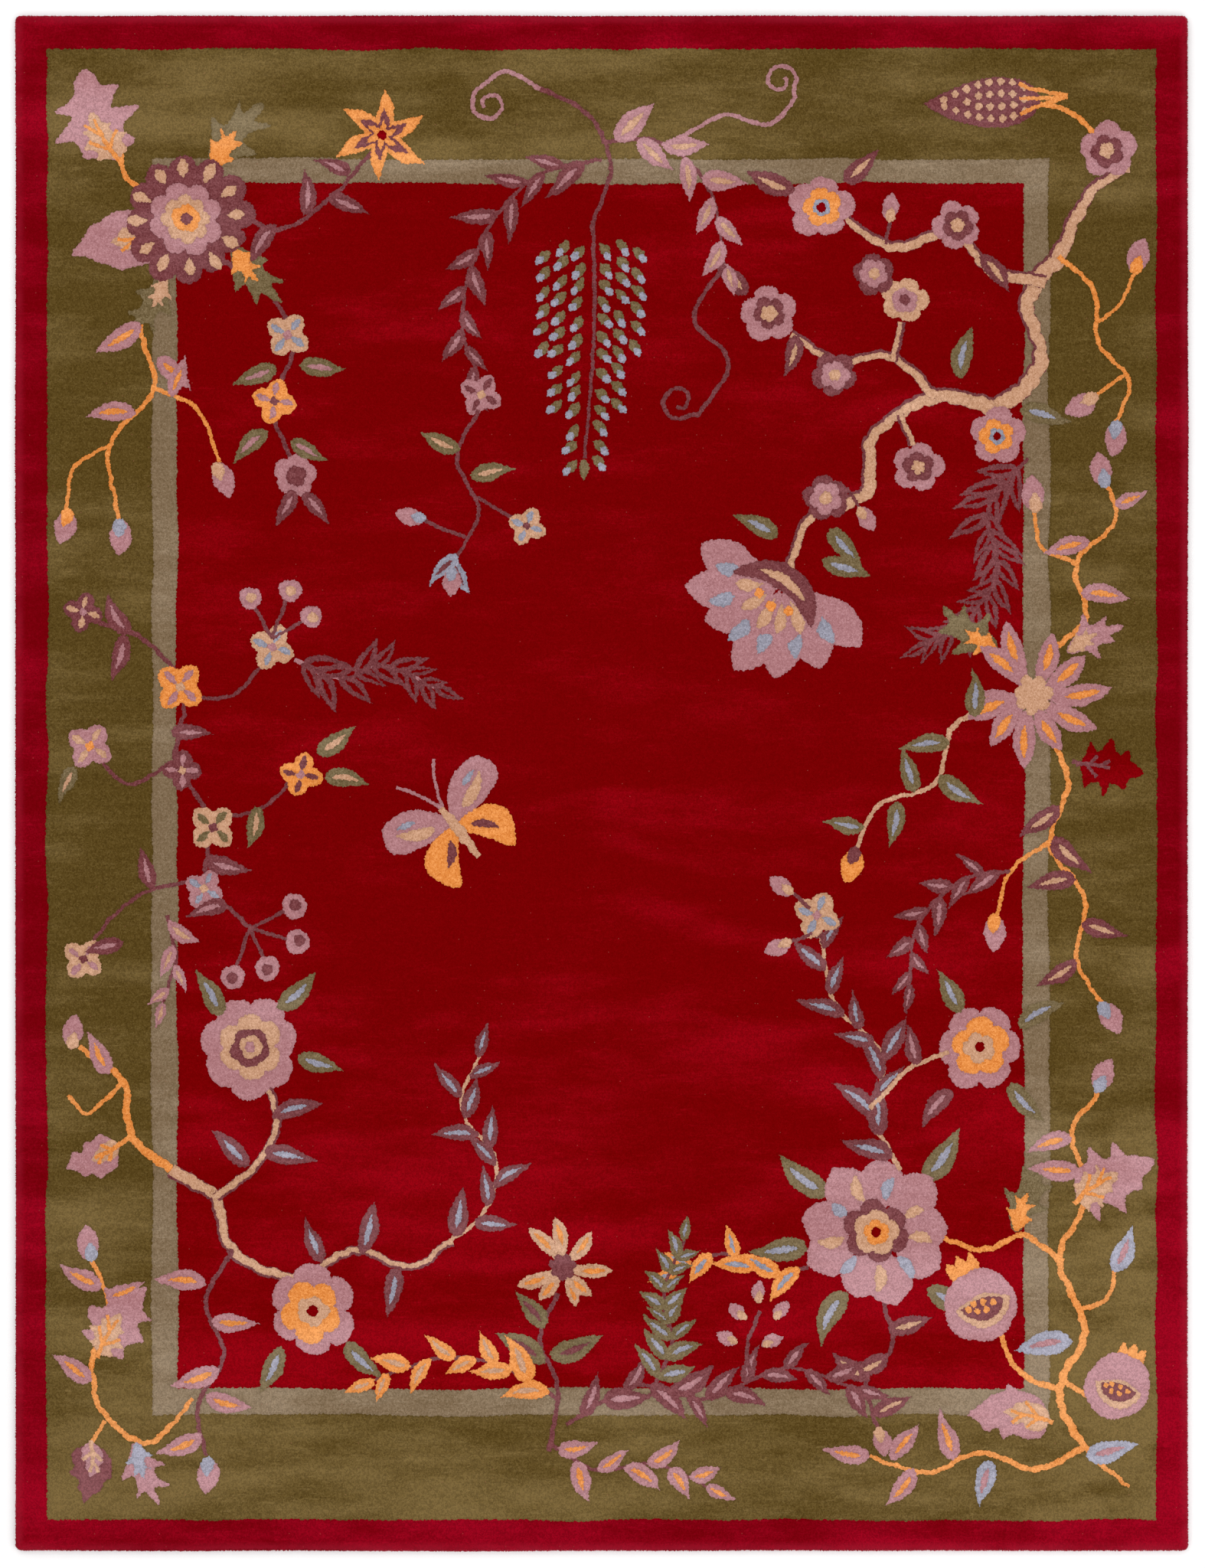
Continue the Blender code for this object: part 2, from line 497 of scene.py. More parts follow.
def hangingCluster(top, foot, width):
    # buds in slanting rows down a stem, narrowing to the foot
    form = clusterForm
    top, foot = spot(top), spot(foot)
    stem("plum", [top, (top + foot) / 2 + form["stemBow"], foot], form["stemWidths"])
    length, wide = form["bud"]
    tipStart, tipEnd, tipWidth = form["tip"]
    for k in range(form["rows"]):
        share = k / (form["rows"] - 1)
        half = width * (1 - share) ** form["narrowing"] * min(1, 0.5 + share * 2.5)
        middle = top + (foot - top) * (form["firstAt"] + (1 - form["firstAt"]) * share)
        for side in (-1, 1):
            for n in range(max(1, round(half / form["room"]))):
                aside = side * (form["nearest"] + form["across"] * n)
                place = middle + aside + 1j * (form["up"] * n + dice.uniform(-form["slip"], form["slip"]))
                way = turnedBy(-90 + side * dice.uniform(*form["lean"]))
                work("sage", leafShape(place, place + way * length, wide, 0.05, 0.5))
                start, end = place + way * tipStart, place + way * tipEnd
                work("blue", leafShape(start, end, tipWidth, 0.0, 0.5), 0.5)
    length, wide = form["lastBud"]
    work("sage", leafShape(foot, foot - 1j * length, wide))


def peonyHead(centre, radius, turn):
    # broad petals with a ringed heart and small flecks between
    centre = spot(centre)
    petalsAround(("mauve",), centre, radius, 9, turn, 5, 0.2, (0.94, 1.08), 0.62, 0.0, 0.62)
    petalsAround(("cream", "blue"), centre, radius, 9, turn + 20, 5, 0.44, (0.72, 0.86), 0.16, 0.15, 0.5)
    work("plum", petalRing(centre, radius * 0.46, 6, 0.28, turn + 30))
    work("cream", petalRing(centre, radius * 0.31, 5, 0.25, turn))
    work("orange", petalRing(centre, radius * 0.19, 5, 0.25, turn + 20))
    work("field", petalRing(centre, radius * 0.07, 3, 0.1, turn), 0.5)


def doubleAster(centre, radius, turn):
    # two rows of short petals round a ringed heart
    centre = spot(centre)
    work("plum", petalRing(centre, radius, 12, 0.2, turn))
    petalsAround(("cream",), centre, radius, 12, turn, 3, 0.6, (0.86, 0.94), 0.17, 0.0, 0.6)
    work("mauve", petalRing(centre, radius * 0.58, 8, 0.24, turn + 15))
    work("cream", petalRing(centre, radius * 0.36, 8, 0.26, turn))
    work("orange", petalRing(centre, radius * 0.22, 5, 0.18, turn + 10))
    work("plum", petalRing(centre, radius * 0.1, 4, 0.2, turn), 0.5)


def pomegranate(centre, heading, radius, split):
    # a round fruit with a toothed crown, split to show its seeds
    centre = spot(centre)
    way = turnedBy(heading) * radius
    for aside in (-0.34, 0.0, 0.34):
        foot = centre + way * (0.7 + 0.5j * aside)
        tip = centre + way * (1.42 - 0.2 * abs(aside) + 1j * aside)
        work("orange", leafShape(foot, tip, radius * 0.36, 0.0, 0.4), 0.5)
    work("mauve", petalRing(centre, radius, 5, 0.07, heading + 36))
    across = turnedBy(heading + split) * radius
    work("cream", leafShape(centre - across * 0.74, centre + across * 0.72, radius * 0.86, 0.12, 0.48))
    work("plum", leafShape(
        centre - across * 0.58, centre + across * 0.56, radius * 0.58, 0.12, 0.48,
    ), 0.6)
    for along, aside in (
        (-0.3, 0.03), (-0.08, 0.17), (-0.05, -0.05), (0.17, 0.15), (0.2, -0.06), (0.38, 0.04),
    ):
        seed = centre + across * (along + 1j * aside)
        work("orange", petalRing(seed, radius * 0.085, 3, 0.1, 20), 0.4)


rayForm = {
    "sway": 8,
    "start": 0.1,           # the rest are shares of a petal's length
    "lengths": (0.8, 1.12),
    "bend": 0.12,
    "width": 0.33,
    "stripe": 0.12,
    "heart": 0.3,
}


def rayFlower(centre, petals, length, turn, yarns=("mauve", "orange", "cream")):
    # long petals fanned out from a pale heart
    centre = spot(centre)
    for k in range(petals):
        heading = turn + 360 * k / petals + dice.uniform(-rayForm["sway"], rayForm["sway"])
        start = centre + turnedBy(heading) * length * rayForm["start"]
        tip = start + turnedBy(heading) * length * dice.uniform(*rayForm["lengths"])
        bend = dice.choice((-rayForm["bend"], rayForm["bend"]))
        work(yarns[0], leafShape(start, tip, length * rayForm["width"], bend, 0.55, hook=bend))
        work(yarns[1], leafShape(start, tip, length * rayForm["stripe"], bend, 0.5, 0.34, 0.84, bend), 0.5)
    work(yarns[2], petalRing(centre, length * rayForm["heart"], 7, 0.3, turn))


lilyForm = {
    "points": 6,
    "reaches": (0.84, 1.12),
    "layers": (("orange", 1.0), ("plum", 0.6), ("orange", 0.36)),
    "petal": ((-14, 0.66), (6, 1.0), (15, 0.62)),  # degrees past the petal's heading, share of its reach
    "notch": 0.36,
}


def starLily(centre, radius, turn):
    # a star of pointed petals in two colours
    centre = spot(centre)
    points = lilyForm["points"]
    reaches = [dice.uniform(*lilyForm["reaches"]) for _ in range(points)]
    for yarn, share in lilyForm["layers"]:
        outline = []
        for k, reach in enumerate(reaches):
            heading = turn + 360 / points * k
            for past, part in lilyForm["petal"]:
                outline.append(centre + turnedBy(heading + past) * radius * share * reach * part)
            outline.append(centre + turnedBy(heading + 180 / points) * radius * share * lilyForm["notch"])
        work(yarn, outline)
    work("field", petalRing(centre, radius * 0.1, 4, 0.2, turn), 0.5)


bloomPetals = (
    # petals, degrees they fan over, reach, width, yarn
    (7, 164, 1.0, 0.44, "mauve"),
    (6, 140, 0.8, 0.15, "blue"),
    (5, 120, 0.66, 0.34, "mauve"),
    (5, 108, 0.54, 0.13, "cream"),
)


def openBloom(base, heading, size):
    # a wide bloom seen from the side: fanned petals over a dark cup
    base = spot(base)
    for count, spread, reach, width, yarn in bloomPetals:
        for k in range(count):
            way = turnedBy(heading + spread * (k / (count - 1) - 0.5) + dice.uniform(-4, 4)) * size
            reached = reach * dice.uniform(0.92, 1.08)
            start = 0.06 if width > 0.2 else 0.36 * reach
            work(yarn, leafShape(base + way * start, base + way * reached, size * width, 0.05, 0.64))
    across = turnedBy(heading + 90) * size
    up = turnedBy(heading) * size
    work("plum", smoothLine([
        base + across * 0.5 + up * 0.22, base + across * 0.16 + up * 0.1, base - across * 0.18 + up * 0.09,
        base - across * 0.52 + up * 0.2, base - across * 0.3 - up * 0.1, base + across * 0.02 - up * 0.2,
        base + across * 0.32 - up * 0.1,
    ], True, 4))
    work("cream", smoothLine([
        base + across * 0.3 + up * 0.04, base + up * 0.01, base - across * 0.32 + up * 0.03,
        base - up * 0.09,
    ], True, 4))
    for aside in (-0.16, 0.02, 0.2):
        place = base + across * aside + up * dice.uniform(0.2, 0.28)
        work("orange", petalRing(place, size * 0.055, 4, 0.2, 10), 0.5)


coneForm = {
    "rows": 8,
    "firstAt": 0.14,        # shares of the length: below the first row, and over all rows
    "span": 0.68,
    "margin": 0.015,        # bare at either side
    "gap": 0.026,           # from scale to scale
    "scale": 0.0075,
}


def cone(foot, heading, length, width):
    # a scaly seed head with pale scales in rows
    foot = spot(foot)
    way = turnedBy(heading)
    work("plum", leafShape(foot, foot + way * length, width, 0.02, 0.36))
    rows = coneForm["rows"]
    for k in range(rows):
        share = coneForm["firstAt"] + coneForm["span"] * k / (rows - 1)
        half = width * 0.5 * math.sin(math.pi * share ** 0.68) - coneForm["margin"]
        count = max(1, round(2 * half / coneForm["gap"]) + 1)
        for n in range(count):
            aside = 0 if count == 1 else -half + 2 * half * n / (count - 1)
            place = foot + way * (length * share + 1j * aside)
            work("cream", notchedSquare(place, coneForm["scale"], 0.0, 45), 0.3)
    for side in (-1, 0, 1):
        stem("orange", [
            foot - way * 0.06, foot + way * (0.01 + 0.02j * side), foot + way * (0.05 + 0.034j * side),
        ], (0.01, 0.008))


def butterfly(centre, heading, size):
    centre = spot(centre)
    way = turnedBy(heading) * size
    for side in (-1, 1):
        def at(along, aside):
            return centre + way * (along + 1j * side * aside)
        work("mauve", smoothLine([
            at(0.1, 0), at(0.7, 0.42), at(0.74, 1.02), at(0.3, 1.12), at(0.08, 0.66),
        ], True, 4))
        work("cream", leafShape(at(0.22, 0.28), at(0.52, 0.9), 0.2 * size, 0.1 * side))
        work("blue", leafShape(at(0.5, 0.5), at(0.6, 0.84), 0.1 * size, 0.0), 0.5)
        work("orange", smoothLine([
            at(0.02, 0), at(0.02, 0.6), at(-0.3, 0.86), at(-0.84, 0.58), at(-0.42, 0.28),
        ], True, 4))
        work("plum", leafShape(at(-0.1, 0.22), at(-0.46, 0.56), 0.15 * size, 0.1))
        stem("mauve", [at(0.35, 0), at(0.8, 0.16), at(1.15, 0.4)], (0.008, 0.007))
    stem("cream", [centre - way * 0.62, centre, centre + way * 0.42], (0.013, 0.026, 0.015))


# top right: a knobbly blossom branch in from the side band, with one open bloom
def topRight():
    branch = {"shade": "plum", "shift": 0.003}
    stem("cream", [
        (1.2, 1.4), (1.11, 1.34), (1.04, 1.2), (0.97, 1.1), (1.0, 0.96), (0.91, 0.86), (0.76, 0.88),
        (0.62, 0.79), (0.6, 0.66), (0.47, 0.6), (0.42, 0.46),
    ], (0.014, 0.024, 0.034, 0.024, 0.036, 0.028, 0.02, 0.026, 0.017, 0.012), kinks=2.2, **branch)
    stem("cream", [
        (1.01, 1.14), (0.88, 1.17), (0.8, 1.25), (0.66, 1.22), (0.55, 1.29),
    ], (0.026, 0.016, 0.02, 0.011), kinks=2.0, **branch)
    stem("cream", [
        (0.76, 0.88), (0.66, 0.97), (0.53, 0.96), (0.43, 1.02),
    ], (0.018, 0.013, 0.011), kinks=2.0, **branch)
    stem("cream", [(0.66, 0.96), (0.68, 1.05)], (0.011, 0.01), **branch)
    stem("orange", [
        (1.04, 1.2), (1.12, 1.12), (1.13, 1.0), (1.2, 0.92), (1.17, 0.82),
    ], (0.012, 0.01, 0.009))
    stem("orange", [(1.13, 1.05), (1.18, 1.09), (1.21, 1.16)], (0.009, 0.008))
    stem("orange", [(1.19, 0.93), (1.12, 0.88)], (0.009, 0.008))
    openBloom((0.415, 0.455), 236, 0.215)
    stem("orange", [(1.13, 1.47), (1.06, 1.53), (0.97, 1.55)], (0.012, 0.011))
    cone((1.0, 1.56), 183, 0.27, 0.115)
    for x, y, heading, tip in (
        (1.165, 0.785, -100, "blue"), (1.225, 1.2, 70, "orange"), (1.09, 0.865, 205, "cream"),
    ):
        bud((x, y), heading, 0.085, "mauve", tip)
    layers = (
        [("mauve", 1.0, 5, 0.28), ("orange", 0.62, 5, 0.3), ("blue", 0.3, 5, 0.2), ("field", 0.15, 3, 0.1)],
        [("mauve", 1.0, 5, 0.28), ("plum", 0.62, 5, 0.3), ("cream", 0.3, 5, 0.3)],
        [("cream", 1.0, 5, 0.28), ("mauve", 0.55, 5, 0.3), ("plum", 0.24, 3, 0.1)],
        [("plum", 1.0, 5, 0.26), ("mauve", 0.66, 5, 0.3), ("cream", 0.28, 3, 0.1)],
    )
    for x, y, radius, turn, kind in (
        (0.5, 1.31, 0.072, 10, 0), (0.81, 1.27, 0.056, 40, 1), (0.69, 1.1, 0.054, 0, 2),
        (0.38, 1.07, 0.062, 25, 1), (0.53, 0.93, 0.05, 50, 3), (0.9, 0.79, 0.064, 15, 0),
        (0.51, 0.65, 0.056, 30, 3), (0.72, 0.72, 0.058, 5, 1), (1.15, 1.44, 0.064, 20, 1),
        (0.62, 1.16, 0.05, 30, 3),
    ):
        blossom((x, y), radius, layers[kind], turn)
    leaves("plum", "cream", (
        (0.44, 1.35, 150, 0.11, 0.048), (0.55, 1.37, 50, 0.1, 0.044), (0.86, 1.2, 300, 0.1, 0.04),
        (0.33, 1.11, 140, 0.1, 0.042), (0.44, 1.02, 250, 0.09, 0.038),
    ))
    leaves("sage", "blue", (
        (0.95, 0.85, 335, 0.11, 0.046), (0.82, 0.92, 70, 0.11, 0.046), (0.52, 0.58, 320, 0.11, 0.045),
        (0.5, 0.51, 350, 0.11, 0.045), (0.4, 0.56, 160, 0.105, 0.044),
    ))
    stem("cream", [(0.68, 0.84), (0.71, 0.77)], (0.011, 0.01), **branch)
    sprig("plum", "plum", "field", [
        (0.97, 0.74), (0.88, 0.62), (0.9, 0.48), (0.82, 0.36), (0.74, 0.32),
    ], 0.098, 0.034, 0.04, pairs=True)
    twigBuds("plum", ((0.6, 0.6), (0.66, 1.31)), (300, 80), 0.065, ("mauve", "cream"))


# top left: a double aster over the corner of the inner stripe, with large leaves on the band
def topLeft():
    stem("orange", [
        (-0.95, 1.2), (-1.05, 1.06), (-1.02, 0.9), (-1.12, 0.77), (-1.1, 0.6),
    ], (0.015, 0.012, 0.011, 0.009), kinks=1.6)
    stem("orange", [(-1.02, 0.9), (-0.92, 0.85), (-0.87, 0.73)], (0.01, 0.008))
    stem("orange", [(-1.12, 0.77), (-1.2, 0.72), (-1.22, 0.62)], (0.009, 0.008))
    stem("orange", [(-1.0, 1.32), (-1.08, 1.38), (-1.1, 1.46)], (0.013, 0.011))
    stem("plum", [(-0.86, 1.32), (-0.74, 1.26), (-0.62, 1.33), (-0.52, 1.44)], (0.011, 0.009))
    stem("plum", [(-0.88, 1.2), (-0.76, 1.12), (-0.7, 1.0), (-0.75, 0.86), (-0.7, 0.72)], (0.011, 0.009))
    lobedLeaf("broad", ("mauve", "cream", "orange"), (-1.1, 1.42), 112, 0.22, 0.08)
    lobedLeaf("round", ("mauve", "cream", "orange"), (-1.0, 1.24), 190, 0.21, -0.06)
    lobedLeaf("flame", ("sage", "orange", None), (-0.89, 1.4), 50, 0.19, 0.05)
    lobedLeaf("flame", ("sage", "orange", None), (-0.84, 1.22), 312, 0.17, -0.05)
    lobedLeaf("flame", ("sage", "cream", None), (-0.99, 1.15), 236, 0.14, 0.06)
    doubleAster((-0.945, 1.285), 0.15, 4)
    starLily((-0.5, 1.475), 0.11, 20)
    for x, y, heading, tip in (
        (-1.1, 0.56, 265, "blue"), (-0.865, 0.69, 290, "cream"), (-1.225, 0.585, 250, "orange"),
    ):
        bud((x, y), heading, 0.085, "mauve", tip)
    leaves("mauve", "orange", (
        (-1.05, 1.05, 205, 0.115, 0.048), (-1.01, 0.97, 325, 0.1, 0.042), (-1.06, 0.84, 190, 0.105, 0.044),
        (-0.98, 0.88, 60, 0.09, 0.036),
    ))
    leaves("plum", "mauve", (
        (-0.74, 1.27, 245, 0.1, 0.038), (-0.68, 1.29, 95, 0.1, 0.038), (-0.62, 1.34, 345, 0.095, 0.036),
        (-0.57, 1.39, 150, 0.085, 0.034),
    ))
    squareBlossom((-0.715, 1.02), 0.092, ("cream", "blue", "mauve"), 10)
    squareBlossom((-0.745, 0.87), 0.088, ("orange", "mauve", "plum"), 30)
    blossom((-0.695, 0.7), 0.05, [("mauve", 1.0, 5, 0.25), ("plum", 0.5, 4, 0.2)], 10)
    leaves("sage", "mauve", (
        (-0.74, 0.95, 195, 0.1, 0.042), (-0.69, 0.95, 345, 0.1, 0.042), (-0.76, 0.8, 230, 0.1, 0.042),
        (-0.71, 0.78, 320, 0.09, 0.038),
    ))
    leaves("plum", "mauve", ((-0.7, 0.67, 235, 0.085, 0.034), (-0.68, 0.66, 305, 0.085, 0.034)))


# top middle: a hanging cluster and long leafy stems
def topMiddle():
    stem("plum", [(-0.14, 1.58), (-0.03, 1.52), (0.02, 1.4), (-0.02, 1.28)], (0.011, 0.009))
    hangingCluster((-0.02, 1.28), (-0.04, 0.74), 0.17)
    sprig("plum", "mauve", "cream", [
        (0.0, 1.46), (0.13, 1.46), (0.24, 1.36), (0.28, 1.18),
    ], 0.105, 0.044, 0.055)
    sprig("plum", "plum", "mauve", [
        (0.0, 1.42), (-0.15, 1.38), (-0.26, 1.26), (-0.32, 1.06), (-0.28, 0.92),
    ], 0.105, 0.038, 0.046)
    curl("mauve", [(-0.14, 1.58), (-0.22, 1.62), (-0.28, 1.58)], (-0.255, 1.545), 0.042, 1.2, 140)
    curl("plum", [
        (0.28, 1.18), (0.21, 1.06), (0.29, 0.96), (0.22, 0.84),
    ], (0.175, 0.87), 0.045, 1.2, 320, -1)
    squareBlossom((-0.275, 0.885), 0.085, ("mauve", "plum", "cream"), 15)
    curl("mauve", [(0.16, 1.46), (0.28, 1.52), (0.38, 1.5), (0.44, 1.56)], (0.405, 1.6), 0.04, 1.2, 320)
    stem("plum", [(-0.28, 0.85), (-0.33, 0.74), (-0.28, 0.62), (-0.34, 0.5)], (0.009, 0.008))
    stem("plum", [(-0.3, 0.66), (-0.2, 0.6)], (0.008, 0.008))
    stem("plum", [(-0.31, 0.56), (-0.41, 0.6)], (0.008, 0.008))
    squareBlossom((-0.17, 0.585), 0.076, ("cream", "blue", "plum"), 20)
    leaves("sage", "cream", ((-0.32, 0.76, 150, 0.095, 0.04), (-0.3, 0.7, 20, 0.095, 0.04)))
    leaves("blue", "plum", ((-0.33, 0.52, 215, 0.085, 0.036), (-0.335, 0.51, 300, 0.08, 0.034)))
    for x, y, heading in ((-0.435, 0.61, 165), (-0.345, 0.46, 262)):
        bud((x, y), heading, 0.07, "mauve", "blue")


# right middle: a ray flower over the inner stripe, with stems up and down the band
def rightMiddle():
    stem("orange", [
        (1.02, 0.3), (1.1, 0.38), (1.08, 0.5), (1.17, 0.6), (1.15, 0.68),
    ], (0.013, 0.011, 0.009), kinks=1.6)
    stem("orange", [(1.08, 0.5), (1.0, 0.54), (0.985, 0.62)], (0.01, 0.008))
    stem("orange", [
        (1.02, 0.12), (1.06, 0.0), (1.02, -0.14), (1.1, -0.26), (1.08, -0.4), (1.14, -0.5),
    ], (0.013, 0.011, 0.009), kinks=1.6)
    stem("orange", [(1.02, -0.13), (0.93, -0.2), (0.9, -0.3)], (0.01, 0.008))
    stem("cream", [
        (0.92, 0.18), (0.8, 0.13), (0.76, 0.0), (0.63, -0.05), (0.58, -0.15),
    ], (0.014, 0.011, 0.009))
    stem("plum", [(1.07, 0.05), (1.12, 0.03)], (0.009, 0.008))
    lobedLeaf("broad", ("field", None, "plum"), (1.085, 0.045), 352, 0.15)
    lobedLeaf("flame", ("sage", "orange", None), (0.9, 0.3), 140, 0.16, 0.06)
    lobedLeaf("flame", ("mauve", "cream", None), (1.06, 0.3), 25, 0.14, 0.06)
    rayFlower((0.98, 0.2), 11, 0.15, 10)
    for x, y, heading, yarn, tip in (
        (1.14, 0.715, 100, "mauve", "blue"), (0.985, 0.66, 95, "mauve", "cream"),
        (1.155, -0.535, 300, "mauve", "blue"), (0.565, -0.185, 250, "orange", "plum"),
        (0.89, -0.34, 265, "mauve", "orange"),
    ):
        bud((x, y), heading, 0.085, yarn, tip)
    leaves("mauve", "orange", (
        (1.11, 0.55, 200, 0.1, 0.042), (1.17, 0.63, 15, 0.075, 0.034), (1.09, 0.43, 345, 0.105, 0.044),
    ))
    leaves("plum", "cream", (
        (1.04, -0.05, 205, 0.105, 0.042), (1.03, -0.12, 325, 0.11, 0.044),
        (1.08, -0.22, 200, 0.105, 0.042), (1.09, -0.32, 335, 0.1, 0.04), (1.08, -0.4, 205, 0.1, 0.04),
    ))
    leaves("sage", "blue", (
        (0.85, 0.15, 80, 0.1, 0.042), (0.79, 0.09, 195, 0.105, 0.042), (0.77, 0.02, 335, 0.11, 0.044),
        (0.71, -0.02, 115, 0.1, 0.04), (0.67, -0.04, 255, 0.1, 0.04), (0.6, -0.1, 160, 0.09, 0.036),
    ))
    sprig("plum", "plum", "mauve", [
        (0.93, -0.2), (0.82, -0.22), (0.72, -0.32), (0.7, -0.46),
    ], 0.09, 0.034, 0.04)


# left middle: a vine of four-petalled blossoms and berries
def leftMiddle():
    stem("plum", [
        (-1.16, 0.37), (-1.03, 0.32), (-0.95, 0.2), (-0.97, 0.05), (-0.89, -0.08), (-0.9, -0.22),
        (-0.8, -0.33),
    ], (0.011, 0.01, 0.009), kinks=1.5)
    stem("plum", [(-0.95, 0.2), (-0.84, 0.2), (-0.75, 0.3)], (0.009, 0.008))
    stem("plum", [(-0.97, 0.05), (-1.08, 0.0), (-1.16, 0.08)], (0.009, 0.008))
    stem("plum", [(-0.89, -0.08), (-0.78, -0.06), (-0.69, 0.02)], (0.009, 0.008))
    stem("plum", [(-0.9, -0.22), (-1.02, -0.24), (-1.11, -0.3), (-1.18, -0.39)], (0.009, 0.008))
    for x, y, size, turn, yarns in (
        (-0.96, 0.22, 0.1, 5, ("orange", "mauve", "cream")),
        (-0.75, 0.31, 0.092, 20, ("cream", "blue", "mauve")),
        (-1.165, 0.085, 0.094, 12, ("mauve", "cream", "orange")),
        (-0.955, 0.03, 0.08, 40, ("plum", "mauve", "cream")),
        (-0.885, -0.1, 0.096, 0, ("cream", "sage", "plum")),
        (-0.685, 0.02, 0.086, 30, ("orange", "plum", "mauve")),
        (-0.905, -0.24, 0.08, 15, ("mauve", "blue", "cream")),
        (-1.18, -0.4, 0.086, 8, ("cream", "mauve", "plum")),
        (-1.18, 0.39, 0.078, 30, ("plum", "cream", "mauve")),
    ):
        squareBlossom((x, y), size, yarns, turn)
    for x, y in ((-0.76, -0.42), (-0.84, -0.44), (-0.69, -0.36), (-0.7, -0.28)):
        stem("plum", [(-0.8, -0.33), (x, y)], (0.008, 0.008))
        berry((x, y), 0.029, "mauve", "plum")
    for x, y in ((-0.66, 0.38), (-0.71, 0.44), (-0.8, 0.42)):
        stem("plum", [(-0.75, 0.33), (x, y)], (0.008, 0.008))
        berry((x, y), 0.026, "mauve", "cream")
    leaves("plum", "mauve", (
        (-1.07, 0.34, 115, 0.1, 0.04), (-1.09, 0.34, 245, 0.1, 0.04), (-0.98, 0.12, 5, 0.09, 0.036),
        (-0.9, -0.17, 350, 0.1, 0.04), (-0.85, -0.28, 205, 0.09, 0.036), (-1.02, -0.24, 95, 0.09, 0.036),
        (-1.09, -0.36, 185, 0.085, 0.036),
    ))
    leaves("sage", "cream", (
        (-0.65, 0.07, 45, 0.1, 0.042), (-0.63, 0.01, 345, 0.095, 0.04), (-1.2, 0.04, 235, 0.085, 0.036),
        (-0.79, -0.05, 255, 0.09, 0.038),
    ))
    sprig("plum", "mauve", "cream", [(-0.99, -0.3), (-0.97, -0.4), (-1.0, -0.5)], 0.08, 0.034, 0.05)
    sprig("mauve", "plum", "field", [
        (-0.7, 0.28), (-0.6, 0.24), (-0.5, 0.27), (-0.38, 0.22),
    ], 0.095, 0.034, 0.04, pairs=True)


